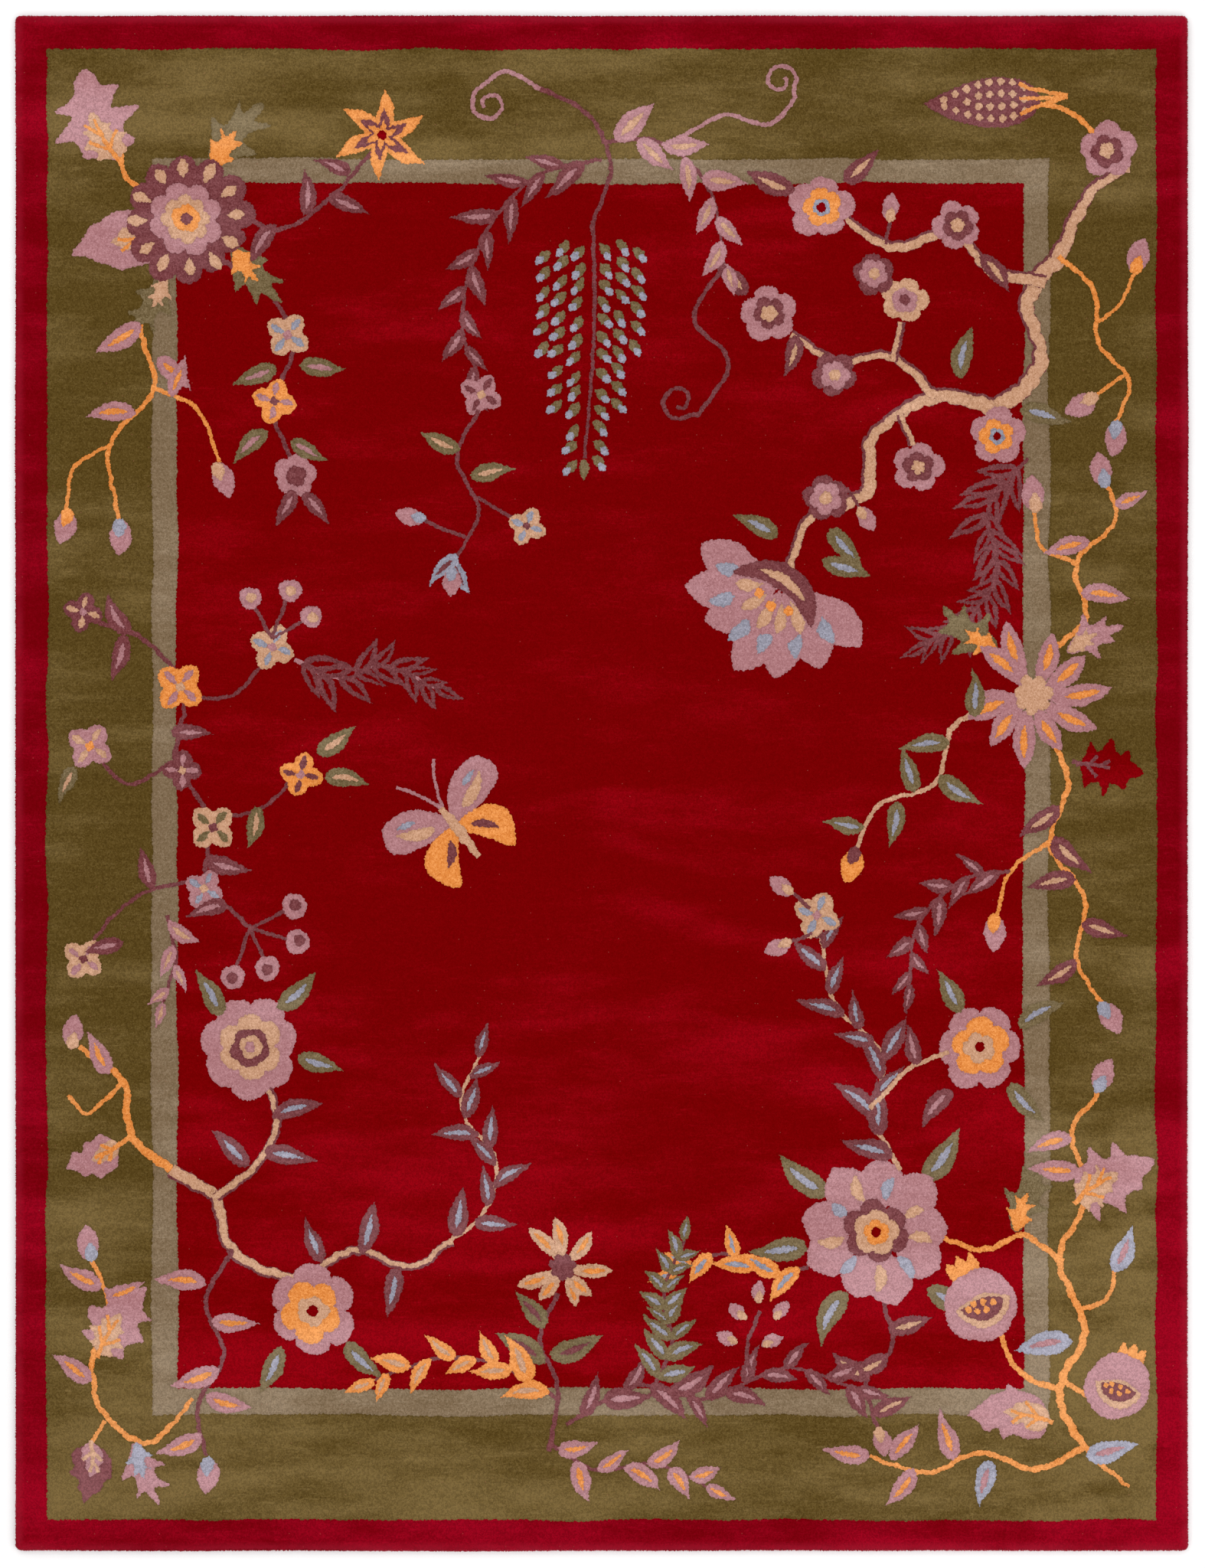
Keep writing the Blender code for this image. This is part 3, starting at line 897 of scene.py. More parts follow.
# bottom right: the largest spray, a peony and two pomegranates on a bowed branch
def bottomRight():
    stem("orange", [
        (1.2, -1.6), (1.1, -1.51), (1.04, -1.39), (1.1, -1.24), (1.04, -1.08), (1.11, -0.93), (1.07, -0.8),
        (1.13, -0.7),
    ], (0.008, 0.018, 0.016, 0.014, 0.012, 0.01), kinks=1.9)
    stem("orange", [(1.04, -1.38), (0.95, -1.34), (0.9, -1.24)], (0.014, 0.011), kinks=1.5)
    stem("orange", [
        (1.1, -1.51), (0.98, -1.56), (0.86, -1.52), (0.74, -1.57), (0.61, -1.53),
    ], (0.014, 0.012, 0.009), kinks=1.6)
    stem("orange", [
        (1.05, -1.09), (0.96, -1.03), (0.87, -1.06), (0.76, -1.03),
    ], (0.013, 0.011), kinks=1.5)
    stem("orange", [(1.08, -1.2), (1.15, -1.17), (1.17, -1.1)], (0.011, 0.01))
    stem("plum", [(0.64, -1.18), (0.66, -1.28), (0.6, -1.36), (0.63, -1.47)], (0.011, 0.009), kinks=1.5)
    lobedLeaf("broad", ("mauve", "cream", "orange"), (1.08, -0.95), 28, 0.2, 0.06)
    lobedLeaf("round", ("mauve", "cream", "orange"), (1.02, -1.45), 176, 0.19, -0.07)
    lobedLeaf("flame", ("sage", "orange", None), (0.94, -1.02), 66, 0.17, 0.05)
    stem("orange", [(1.05, -1.36), (1.12, -1.4)], (0.012, 0.011))
    leaves("sage", "blue", (
        (0.73, -0.9, 62, 0.135, 0.056), (0.52, -0.93, 138, 0.135, 0.056), (0.47, -1.06, 196, 0.125, 0.052),
        (0.56, -1.16, 248, 0.125, 0.052), (0.74, -1.15, 314, 0.115, 0.048),
    ))
    peonyHead((0.625, -1.02), 0.165, 8)
    pomegranate((0.865, -1.185), 118, 0.088, 78)
    pomegranate((1.175, -1.375), 68, 0.076, 96)
    leaves("blue", "mauve", (
        (1.07, -1.27, 196, 0.125, 0.054), (1.1, -1.53, 20, 0.115, 0.05), (0.88, -1.54, 250, 0.1, 0.044),
        (1.16, -1.11, 75, 0.105, 0.046),
    ))
    leaves("mauve", "orange", (
        (1.09, -0.88, 168, 0.11, 0.046), (1.07, -0.81, 205, 0.1, 0.042), (0.8, -1.54, 118, 0.11, 0.046),
        (0.71, -1.56, 225, 0.1, 0.042), (0.66, -1.54, 40, 0.095, 0.04), (0.61, -1.53, 165, 0.1, 0.042),
    ))
    leaves("plum", "cream", (
        (0.65, -1.24, 20, 0.1, 0.04), (0.65, -1.3, 200, 0.1, 0.04), (0.6, -1.36, 150, 0.09, 0.038),
        (0.62, -1.44, 20, 0.09, 0.038),
    ))
    bud((1.145, -0.665), 62, 0.085, "mauve", "blue")
    bud((0.635, -1.5), 280, 0.07, "mauve", "cream")
    sprig("cream", "plum", "blue", [
        (0.68, -0.88), (0.62, -0.76), (0.64, -0.62), (0.53, -0.5), (0.5, -0.35),
    ], 0.115, 0.042, 0.05, stemWidth=0.01)
    sprig("plum", "orange", "blue", [
        (0.47, -1.1), (0.38, -1.12), (0.28, -1.07), (0.17, -1.11),
    ], 0.098, 0.042, 0.055)
    blossom((0.86, -0.6), 0.1, [
        ("mauve", 1.0, 6, 0.2), ("orange", 0.66, 5, 0.3), ("cream", 0.36, 5, 0.3), ("field", 0.12, 3, 0.1),
    ], 0)
    stem("cream", [(0.61, -0.74), (0.7, -0.65), (0.79, -0.61)], (0.011, 0.01))
    leaves("sage", "blue", (
        (0.95, -0.56, 25, 0.11, 0.045), (0.93, -0.68, 320, 0.11, 0.045), (0.82, -0.52, 110, 0.105, 0.043),
    ))
    leaves("plum", "mauve", ((0.8, -0.7, 235, 0.1, 0.04), (0.72, -0.64, 95, 0.09, 0.036)))
    squareBlossom((0.49, -0.3), 0.095, ("cream", "blue", "mauve"), 20)
    twigBuds("plum", ((0.4, -0.37), (0.41, -0.23)), (200, 140), 0.065, ("mauve", "cream"))


# bottom left: a bowed branch with two round flowers, and a leafy stem on the band
def bottomLeft():
    stem("orange", [
        (-1.19, -0.6), (-1.09, -0.68), (-1.07, -0.8), (-0.98, -0.88),
    ], (0.012, 0.016, 0.021), kinks=1.6)
    stem("cream", [
        (-0.98, -0.88), (-0.88, -0.94), (-0.84, -1.06), (-0.7, -1.12), (-0.56, -1.06), (-0.44, -1.1),
        (-0.34, -1.04),
    ], (0.026, 0.02, 0.017, 0.013, 0.011, 0.01), shade="plum", shift=0.002, kinks=1.8)
    stem("cream", [
        (-0.88, -0.94), (-0.78, -0.86), (-0.74, -0.76), (-0.78, -0.66),
    ], (0.016, 0.012, 0.011), shade="plum", shift=0.002)
    stem("plum", [
        (-0.84, -1.06), (-0.9, -1.18), (-0.86, -1.3), (-0.92, -1.42), (-0.9, -1.53),
    ], (0.011, 0.009))
    stem("orange", [(-1.09, -0.68), (-1.17, -0.75), (-1.215, -0.71)], (0.01, 0.009))
    flower = [
        ("mauve", 1.0, 7, 0.2), ("cream", 0.68, 6, 0.28), ("plum", 0.42, 5, 0.2), ("cream", 0.24, 4, 0.2),
    ]
    blossom((-0.8, -0.6), 0.112, flower + [("mauve", 0.11, 3, 0.1)], 12)
    blossom((-0.66, -1.2), 0.102, [
        ("mauve", 1.0, 6, 0.22), ("orange", 0.68, 5, 0.28), ("cream", 0.36, 5, 0.3),
        ("field", 0.13, 3, 0.1),
    ], 30)
    sprig("cream", "plum", "blue", [
        (-0.36, -1.05), (-0.27, -0.98), (-0.24, -0.86), (-0.32, -0.74), (-0.28, -0.62),
    ], 0.11, 0.04, 0.048)
    leaves("plum", "blue", (
        (-0.55, -1.07, 85, 0.115, 0.043), (-0.47, -1.1, 255, 0.11, 0.042),
        (-0.77, -0.84, 345, 0.115, 0.043), (-0.75, -0.76, 10, 0.11, 0.042),
        (-0.8, -0.87, 125, 0.11, 0.042), (-0.64, -1.09, 120, 0.1, 0.038),
    ))
    leaves("sage", "blue", (
        (-0.87, -0.53, 125, 0.11, 0.046), (-0.74, -0.51, 50, 0.11, 0.046),
        (-0.58, -1.27, 325, 0.11, 0.044), (-0.73, -1.28, 240, 0.11, 0.044),
        (-0.69, -0.62, 350, 0.1, 0.042),
    ))
    leaves("mauve", "orange", (
        (-0.9, -1.14, 185, 0.11, 0.046), (-0.89, -1.22, 5, 0.105, 0.042), (-0.87, -1.33, 195, 0.11, 0.046),
        (-0.9, -1.39, 355, 0.1, 0.042), (-0.91, -1.48, 195, 0.105, 0.044),
    ))
    bud((-0.9, -1.575), 262, 0.085, "mauve", "blue")
    bud((-1.2, -0.565), 80, 0.08, "mauve", "cream")
    lobedLeaf("round", ("mauve", "cream", "orange"), (-1.1, -0.82), 205, 0.13, 0.06)
    stem("orange", [(-1.07, -0.8), (-1.11, -0.83)], (0.01, 0.01))
    leaves("mauve", "orange", ((-1.12, -0.66, 105, 0.1, 0.042),))
    stem("orange", [
        (-0.93, -1.4), (-1.03, -1.5), (-1.13, -1.44), (-1.16, -1.32), (-1.12, -1.2), (-1.16, -1.08),
    ], (0.01, 0.013, 0.012, 0.01), kinks=1.6)
    stem("orange", [(-1.13, -1.45), (-1.18, -1.53)], (0.01, 0.009))
    lobedLeaf("broad", ("mauve", "cream", "orange"), (-1.145, -1.3), 55, 0.19, 0.06)
    lobedLeaf("round", ("plum", "mauve", "cream"), (-1.16, -1.5), 262, 0.14, 0.06)
    lobedLeaf("flame", ("mauve", "blue", None), (-1.06, -1.5), 290, 0.15, -0.06)
    leaves("mauve", "orange", (
        (-1.16, -1.36, 135, 0.1, 0.044), (-1.14, -1.15, 160, 0.1, 0.042), (-1.13, -1.17, 30, 0.09, 0.038),
    ))
    bud((-1.165, -1.045), 95, 0.085, "mauve", "blue")


# bottom middle: low plants along the inner stripe, with one ray flower
def bottomMiddle():
    stem("plum", [(-0.12, -1.52), (-0.1, -1.38), (-0.14, -1.26), (-0.1, -1.16)], (0.011, 0.009))
    rayFlower((-0.09, -1.1), 8, 0.1, 10, ("cream", "orange", "plum"))
    leaves("sage", "plum", (
        (-0.13, -1.32, 155, 0.125, 0.052), (-0.12, -1.3, 30, 0.12, 0.05), (-0.13, -1.24, 140, 0.1, 0.042),
    ))
    sprig("plum", "orange", "cream", [
        (-0.1, -1.4), (-0.24, -1.32), (-0.38, -1.31), (-0.52, -1.36),
    ], 0.1, 0.042, 0.052)
    sprig("plum", "plum", "mauve", [
        (-0.08, -1.46), (0.08, -1.37), (0.24, -1.4), (0.42, -1.33), (0.58, -1.38),
    ], 0.105, 0.042, 0.052)
    sprig("plum", "mauve", "orange", [
        (-0.12, -1.5), (-0.02, -1.56), (0.12, -1.55), (0.24, -1.6),
    ], 0.095, 0.042, 0.055)
    sprig("plum", "sage", "blue", [
        (0.12, -1.37), (0.16, -1.27), (0.14, -1.16), (0.19, -1.04),
    ], 0.08, 0.034, 0.042, spread=58, pairs=True)
    stem("plum", [(0.34, -1.36), (0.33, -1.28), (0.36, -1.2)], (0.009, 0.008))
    for x, y, heading in (
        (0.36, -1.155, 80), (0.31, -1.2, 130), (0.41, -1.2, 45), (0.285, -1.26, 150), (0.39, -1.27, 20),
    ):
        bud((x, y), heading, 0.052, "mauve", "cream")


# The border, the bands inside it and then the sprays, worked one over the other
borderSlip = 0.0012    # how far in from the solid's outline the last row of tufts may stand
bandWander = 0.6       # the bands are worked straighter than the flowers
print("rug: drawing the bands and the flowers")
edge = evenly(rim, True)
inset = borderSlip / 2 + strays(len(edge), borderSlip / 2)
areas.append(("border", edge + acrossLine(edge, True) * inset))
for yarn in ("olive", "taupe", "field"):
    work(yarn, bandOutline(*bands[yarn]), bandWander)
for spray in (topRight, topLeft, topMiddle, rightMiddle, leftMiddle, bottomRight, bottomLeft, bottomMiddle):
    spray()
butterfly((-0.33, -0.1), 128, 0.135)


# The yarns laid side by side
yarns = ["field", "border", "olive", "taupe", "mauve", "plum", "cream", "orange", "sage", "blue"]
pileForm = {
    "groundTop": 0.003,     # where the ground cloth ends and the tufts begin
    "rimRound": 0.0055,     # how the pile eases over at the rug's edge
    "rimStep": 0.001,
    "rimRows": (0.0014, 0.0036),  # rows of points just inside the edge
    "inset": 0.009,         # how far from the edge the solid is flat on top
    "parting": 0.0008,      # depth of the crease where two colours meet
    "partingWidth": 0.0045,
    "partingShape": 1.5,
    "unevenness": 0.00026,
    "nearGap": 0.0095,      # spacing of free points beside an outline
    "nearReach": 0.0120,
    "farGap": 0.0200,
    "farReach": 9.0,
    "clearOf": 0.0030,      # free points stay this far off an outline
    "edgeMargin": 0.004,    # and this far off the rug's edge
    "rowGap": 0.87,         # distance of the rows of free points, and how loose they stand
    "looseness": 0.3,
    "crisp": 48,            # edges sharper than this many degrees stay sharp
}


def inlay(points, edges):
    # triangles between the points, with every colour's outline kept as edges
    flat = [Vector((z.real, z.imag)) for z in points]
    spots, _, faces, sources, _, _ = delaunay_2d_cdt(flat, edges, [], 0, 1e-6, True)
    spots = np.array([complex(*p) for p in spots])
    faces = np.array([f for f in faces if len(f) == 3])
    a, b, c = spots[faces].T
    clockwise = ((b - a).conjugate() * (c - a)).imag < 0
    faces[clockwise] = faces[clockwise][:, ::-1]
    return spots, faces, sources


def ownerOf(centres, outlines):
    # the last area worked over each centre, found by counting the outline's crossings to its right
    order = np.argsort(centres.imag)
    x, y = centres.real[order], centres.imag[order]
    owner = np.full(len(centres), -1)
    for number, outline in enumerate(outlines):
        low, high = np.searchsorted(y, (outline.imag.min(), outline.imag.max()))
        inside = np.zeros(high - low, dtype=bool)
        ahead = np.roll(outline, -1)
        for x0, y0, x1, y1 in zip(outline.real, outline.imag, ahead.real, ahead.imag):
            first, last = np.searchsorted(y[low:high], (min(y0, y1), max(y0, y1)))
            if last > first:
                heights = y[low + first:low + last]
                crossing = x0 + (heights - y0) * (x1 - x0) / (y1 - y0)
                inside[first:last] ^= x[low + first:low + last] < crossing
        owner[order[low:high][inside]] = number
    return owner


def borderEdges(faces, owner):
    # directed edges whose other side is another yarn or nothing: (from, to, this side's yarn)
    count = int(faces.max()) + 1
    tails = faces.ravel()
    heads = np.roll(faces, -1, axis=1).ravel()
    mine = np.repeat(owner, 3)
    keys = tails.astype(np.int64) * count + heads
    rank = np.argsort(keys)
    back = heads.astype(np.int64) * count + tails
    found = np.searchsorted(keys[rank], back)
    found = np.minimum(found, len(keys) - 1)
    match = keys[rank][found] == back
    other = np.where(match, mine[rank][found], -1)
    edge = (mine != other) & (mine >= 0)
    return np.stack([tails[edge], heads[edge], mine[edge]], axis=1)


def treeOf(points):
    tree = kdtree.KDTree(len(points))
    for number, z in enumerate(points):
        tree.insert((z.real, z.imag, 0), number)
    tree.balance()
    return tree


def distances(points, tree):
    return np.array([tree.find((z.real, z.imag, 0))[2] for z in points])


def pileTop(z):
    # height of the solid above a point, taken a little way in from the edge
    x = min(max(z.real, -halfWidth + pileForm["inset"]), halfWidth - pileForm["inset"])
    y = min(max(z.imag, -halfLength + pileForm["inset"]), halfLength - pileForm["inset"])
    hit = solidTree.ray_cast(Vector((x, y, 1.0)), Vector((0, 0, -1)))[0]
    return hit.z


def freePoints(outlineTree):
    # loose rows of points: close together beside a colour's edge, wider apart on plain pile
    points = []
    loose, rowGap = pileForm["looseness"], pileForm["rowGap"]
    wide, long = halfWidth - pileForm["edgeMargin"], halfLength - pileForm["edgeMargin"]
    for gap, nearest, furthest in (
        (pileForm["nearGap"], pileForm["clearOf"], pileForm["nearReach"]),
        (pileForm["farGap"], pileForm["nearReach"], pileForm["farReach"]),
    ):
        rows = int(2 * halfLength / (gap * rowGap))
        columns = int(2 * halfWidth / gap)
        for row in range(rows):
            for column in range(columns):
                x = -halfWidth + (column + 0.5 * (row % 2) + loose * dice.random()) * gap
                y = -halfLength + (row + loose * dice.random()) * gap * rowGap
                away = outlineTree.find((x, y, 0))[2]
                if nearest < away <= furthest and abs(x) < wide and abs(y) < long:
                    points.append(complex(x, y))
    return points


def layPile():
    # one flat inlay of all the yarns
    points = list(np.concatenate(outlines))
    edges = []
    first = 0
    for outline in outlines:
        edges += [(first + k, first + (k + 1) % len(outline)) for k in range(len(outline))]
        first += len(outline)
    points += freePoints(treeOf(points))
    for depth in pileForm["rimRows"]:
        points += list(outlines[0] + acrossLine(outlines[0], True) * depth)
    spots, faces, _ = inlay(points, edges)
    owner = yarnOfArea[ownerOf(spots[faces].mean(axis=1), outlines)]
    return spots, faces, owner


def pileHeights(spots, edges):
    # the solid's height, lower along the partings and eased over at the rim
    partingPoints = np.unique(edges[:, :2])
    away = distances(spots, treeOf(spots[partingPoints]))
    crease = np.clip(1 - away / pileForm["partingWidth"], 0, 1)
    heights = np.array([pileTop(z) for z in spots])
    heights -= pileForm["parting"] * crease ** pileForm["partingShape"]
    heights += np.array([dice.uniform(-1, 1) for _ in spots]) * pileForm["unevenness"]
    fromRim = distances(spots, treeOf(evenly(rim, True, pileForm["rimStep"])))
    fromRim = np.clip(pileForm["rimRound"] - fromRim, 0, None)
    heights -= pileForm["rimRound"] - np.sqrt(pileForm["rimRound"] ** 2 - fromRim ** 2)
    return heights, crease


def pileFloor(spots, edges):
    # the flat underside of all the yarns, with only the outlines' points
    used, renumbered = np.unique(edges[:, :2], return_inverse=True)
    renumbered = renumbered.reshape(-1, 2)
    _, faces, sources = inlay(spots[used], [tuple(int(i) for i in pair) for pair in renumbered])
    back = np.array([used[group[0]] if group else -1 for group in sources])
    faces = back[faces]
    return faces, yarnOfArea[ownerOf(spots[faces].mean(axis=1), outlines)]


def meshPiece(name, points, faces, crisp, creaseShades=None):
    mesh = bpy.data.meshes.new(name)
    mesh.from_pydata(points, [], faces)
    mesh.polygons.foreach_set("use_smooth", [True] * len(mesh.polygons))
    mesh.set_sharp_from_angle(angle=math.radians(crisp))
    # each point's share of painted shade in the partings
    if creaseShades is not None:
        layer = mesh.attributes.new("creaseShade", "FLOAT", "POINT")
        layer.data.foreach_set("value", creaseShades)
    mesh.update()
    piece = bpy.data.objects.new(name, mesh)
    bpy.context.scene.collection.objects.link(piece)
    return piece


def raiseYarn(name, tips, foot, sides):
    # closed body of one yarn: its tips, its foot on the ground cloth and the sides between
    tipPoints, tipIndex = np.unique(tips, return_inverse=True)
    footPoints = np.unique(np.concatenate([foot.ravel(), sides[:, :2].ravel()]))
    place = np.full(len(spots), -1)
    place[tipPoints] = np.arange(len(tipPoints))
    footPlace = np.full(len(spots), -1)
    footPlace[footPoints] = np.arange(len(footPoints)) + len(tipPoints)
    points = [(z.real, z.imag, h) for z, h in zip(spots[tipPoints], heights[tipPoints])]
    points += [(z.real, z.imag, pileForm["groundTop"]) for z in spots[footPoints]]
    made = [tuple(f) for f in tipIndex.reshape(-1, 3).tolist()]
    made += [tuple(f) for f in footPlace[foot][:, ::-1].tolist()]
    for a, b, _ in sides.tolist():
        made.append((int(place[a]), int(footPlace[a]), int(footPlace[b]), int(place[b])))
    # painted shade: as deep as the crease on the tips, full on the sides and foot
    creaseShades = np.concatenate([crease[tipPoints], np.ones(len(footPoints))])
    return meshPiece(name, points, made, pileForm["crisp"], creaseShades)


print("rug: laying", len(areas), "colour areas side by side")
outlines = [outline for _, outline in areas]
yarnOfArea = np.array([yarns.index(yarn) for yarn, _ in areas] + [-1])
spots, faces, owner = layPile()
edges = borderEdges(faces, owner)
heights, crease = pileHeights(spots, edges)
floorFaces, floorOwner = pileFloor(spots, edges)
pile = {}
for number, yarn in enumerate(yarns):
    tips = faces[owner == number]
    foot = floorFaces[floorOwner == number]
    sides = edges[edges[:, 2] == number]
    pile[yarn] = raiseYarn(yarn + "_pile", tips, foot, sides)
    print("rug:", pile[yarn].name, len(pile[yarn].data.polygons), "faces")


# The cut edge all round the rug, where single tufts lean out past the last row
rimTufts = {
    "pitch": 0.0042,
    "radius": 0.0019,
    "foot": 0.85,        # how thick the tuft is at its root, as a share of its shoulder
    "length": 0.0066,
    "shaft": 0.7,        # shares of the length before it narrows, and in its tip
    "tip": 0.3,
    "rowShift": 0.37,    # each row starts this share of the pitch further on
    # height above the floor, degrees above level, and how far in from the outline the root is
    "rows": ((0.0100, 44, 0.0056), (0.0092, 18, 0.0050), (0.0066, 4, 0.0048), (0.0044, -8, 0.0050)),
    "lookAhead": 0.003,
    "slip": 0.0012,      # how unevenly the tufts stand, turn, tilt and differ in size
    "turn": 24,
    "tilt": 16,
    "sizes": (0.8, 1.12),
    "lift": 0.0006,
    "crisp": 100,
}


def oneTuft():
    # a blunt four-sided tuft lying along +X, its root at the origin
    bpy.ops.object.select_all(action="DESELECT")
    radius, long, shaft = rimTufts["radius"], rimTufts["length"], rimTufts["shaft"]
    bpy.ops.mesh.primitive_cone_add(
        vertices=4, radius1=radius * rimTufts["foot"], radius2=radius, depth=long * shaft,
        location=(long * shaft / 2, 0, 0), rotation=(0, math.pi / 2, 0),
    )
    tuft = bpy.context.object
    bpy.ops.object.transform_apply(location=True, rotation=True, scale=True)
    bpy.ops.object.mode_set(mode="EDIT")
    bpy.ops.mesh.select_all(action="DESELECT")
    bpy.ops.object.mode_set(mode="OBJECT")
    for face in tuft.data.polygons:
        face.select = face.normal.x > 0.9
    bpy.ops.object.mode_set(mode="EDIT")
    bpy.ops.mesh.extrude_region_move(TRANSFORM_OT_translate={"value": (long * rimTufts["tip"], 0, 0)})
    bpy.ops.mesh.merge(type="CENTER")
    bpy.ops.object.mode_set(mode="OBJECT")
    shape = np.array([v.co[:] for v in tuft.data.vertices])
    shapeFaces = [tuple(f.vertices) for f in tuft.data.polygons]
    bpy.data.objects.remove(tuft)
    return shape, shapeFaces


def sway(key):
    return dice.uniform(-rimTufts[key], rimTufts[key])


def leanTufts():
    shape, shapeFaces = oneTuft()
    closed = np.append(rim, rim[:1])
    runs = np.concatenate([[0.0], np.cumsum(np.abs(np.diff(closed)))])

    def rimPoint(stop):
        return complex(np.interp(stop, runs, closed.real), np.interp(stop, runs, closed.imag))

    points, made = [], []
    for row, (height, rise, root) in enumerate(rimTufts["rows"]):
        start = row * rimTufts["pitch"] * rimTufts["rowShift"]
        for stop in np.arange(start, runs[-1], rimTufts["pitch"]):
            stop = stop + sway("slip")
            here = rimPoint(stop)
            ahead = rimPoint(stop + rimTufts["lookAhead"])
            out = (ahead - here) / max(abs(ahead - here), 1e-9) * -1j
            out = out * turnedBy(sway("turn"))
            up = math.radians(rise + sway("tilt"))
            size = dice.uniform(*rimTufts["sizes"])
            lengthways = Vector((out.real * math.cos(up), out.imag * math.cos(up), math.sin(up)))
            sideways = Vector((-out.imag, out.real, 0))
            upwards = lengthways.cross(sideways)
            turned = np.array([lengthways, sideways, upwards]) * size
            base = here - out * root
            place = np.array([base.real, base.imag, height + sway("lift")])
            first = len(points)
            points.extend((shape @ turned + place).tolist())
            made.extend(tuple(first + k for k in face) for face in shapeFaces)
    return meshPiece("rim_tufts", points, made, rimTufts["crisp"])


print("rug: leaning the rim's tufts out")
tufts = leanTufts()


# The woven ground that holds the tufts, plain underneath
groundInset = 0.003    # how far it stops short of the rug's edge


def trimGround():
    bpy.ops.object.select_all(action="DESELECT")
    bpy.context.view_layer.objects.active = groundCloth
    groundCloth.select_set(True)
    bpy.ops.object.mode_set(mode="EDIT")
    bpy.ops.mesh.select_all(action="SELECT")
    bpy.ops.mesh.bisect(
        plane_co=(0, 0, pileForm["groundTop"]), plane_no=(0, 0, 1), use_fill=True, clear_outer=True,
    )
    bpy.ops.mesh.select_all(action="SELECT")
    bpy.ops.transform.resize(
        value=(1 - groundInset / halfWidth, 1 - groundInset / halfLength, 1), center_override=(0, 0, 0),
    )
    bpy.ops.object.mode_set(mode="OBJECT")
    groundCloth.data.materials.clear()


print("rug: trimming the ground cloth")
trimGround()


# Finishes
def addNode(tree, kind, **values):
    # nodes are set out in rows of eight, in the order they are made
    node = tree.nodes.new("ShaderNode" + kind)
    count = len(tree.nodes)
    node.location = (-2000 + 220 * (count % 8), -320 * (count // 8))
    for name, value in values.items():
        setattr(node, name, value)
    return node


def feed(tree, socket, value):
    # a plain value is set on the socket, anything else is linked to it
    if isinstance(value, (int, float, tuple)):
        socket.default_value = value
    else:
        tree.links.new(value, socket)


def mathNode(tree, operation, *inputs):
    node = addNode(tree, "Math", operation=operation)
    for socket, value in zip(node.inputs, inputs):
        feed(tree, socket, value)
    return node.outputs[0]


def ramp(tree, value, low, high, toLow=0.0, toHigh=1.0):
    node = addNode(tree, "MapRange", interpolation_type="SMOOTHSTEP")
    for name, number in (("From Min", low), ("From Max", high), ("To Min", toLow), ("To Max", toHigh)):
        node.inputs[name].default_value = number
    tree.links.new(value, node.inputs["Value"])
    return node.outputs["Result"]


def stretched(tree, vector, stretch):
    node = addNode(tree, "Mapping")
    node.inputs["Scale"].default_value = stretch
    tree.links.new(vector, node.inputs["Vector"])
    return node.outputs["Vector"]


def noise(tree, vector, stretch, scale, detail, roughness):
    # cloudy noise, drawn out along the axes when a stretch is given
    if stretch:
        vector = stretched(tree, vector, stretch)
    node = addNode(tree, "TexNoise")
    for name, value in (("Vector", vector), ("Scale", scale), ("Detail", detail), ("Roughness", roughness)):
        feed(tree, node.inputs[name], value)
    return node.outputs["Fac"]


def cells(tree, vector, scale, **values):
    # rounded cells: the distance from each middle, and two random shares for each cell
    node = addNode(tree, "TexVoronoi", feature="F1", **values)
    node.inputs["Scale"].default_value = scale
    tree.links.new(vector, node.inputs["Vector"])
    pick = addNode(tree, "SeparateColor")
    tree.links.new(node.outputs["Color"], pick.inputs[0])
    return node, pick.outputs["Red"], pick.outputs["Green"]


def mixColours(tree, factor, one, other):
    node = addNode(tree, "Mix", data_type="RGBA")
    for name, value in (("Factor", factor), ("A", one), ("B", other)):
        feed(tree, node.inputs[name], value)
    return node.outputs["Result"]


pileNoises = {
    # stretch, scale, detail, roughness
    "fibre": (None, 620, 3.0, 0.65),
    "rows": ((7, 95, 20), 1.0, 3.0, 0.55),
    "clumps": ((70, 130, 70), 1.0, 3.0, 0.6),
    # the last four lay out where painted sheen falls on the pile
    "patch": ((1.5, 6.5, 3), 1.0, 3.0, 0.5),
    "sheenBlotch": ((9, 13, 9), 1.0, 4.0, 0.6),
    "sheenCloud": ((5, 15, 5), 1.0, 3.0, 0.6),
    "streaks": ((34, 260, 40), 1.0, 2.0, 0.5),
}
tuftCells = {"scale": 380, "randomness": 0.85, "stretch": (1.0, 0.85, 0.8)}
toneShares = {"tuft": 0.27, "fibre": 0.42, "rows": 0.14, "clumps": 0.17}
bumpShares = {"fibre": 0.5, "rows": 0.25}
paintedNapSheen = {
    # painted sheen where the leaning pile catches the light: from, to, lightness at the first, lightness at
    # the second
    "nearEnd": (0.0, -1.4, 0.0, 0.38),
    "farBand": (1.26, 1.46, 0.0, 0.30),
    "sideBands": (1.12, 1.24, 0.0, 0.10),
    "cornerAcross": (0.5, 1.3),
    "cornerAlong": (-0.3, -1.3, 0.0, 0.34),
    "cornerSheenBlotch": (0.36, 0.62, 0.3, 1.5),
    "patch": (0.36, 0.68, -0.22, 0.36),
    "sheenCloud": (0.36, 0.66, -0.12, 0.20),
    "streaks": (0.56, 0.74, 0.0, 0.30),
}
# painted sheen on the border's last rows before the cut edge
rimSheen = {"reach": 0.026, "full": 0.004, "sheenBlotch": (0.3, 0.6, 0.4, 1.0)}
lintSpecks = {"scale": 34, "size": (0.05, 0.02), "above": 0.94}


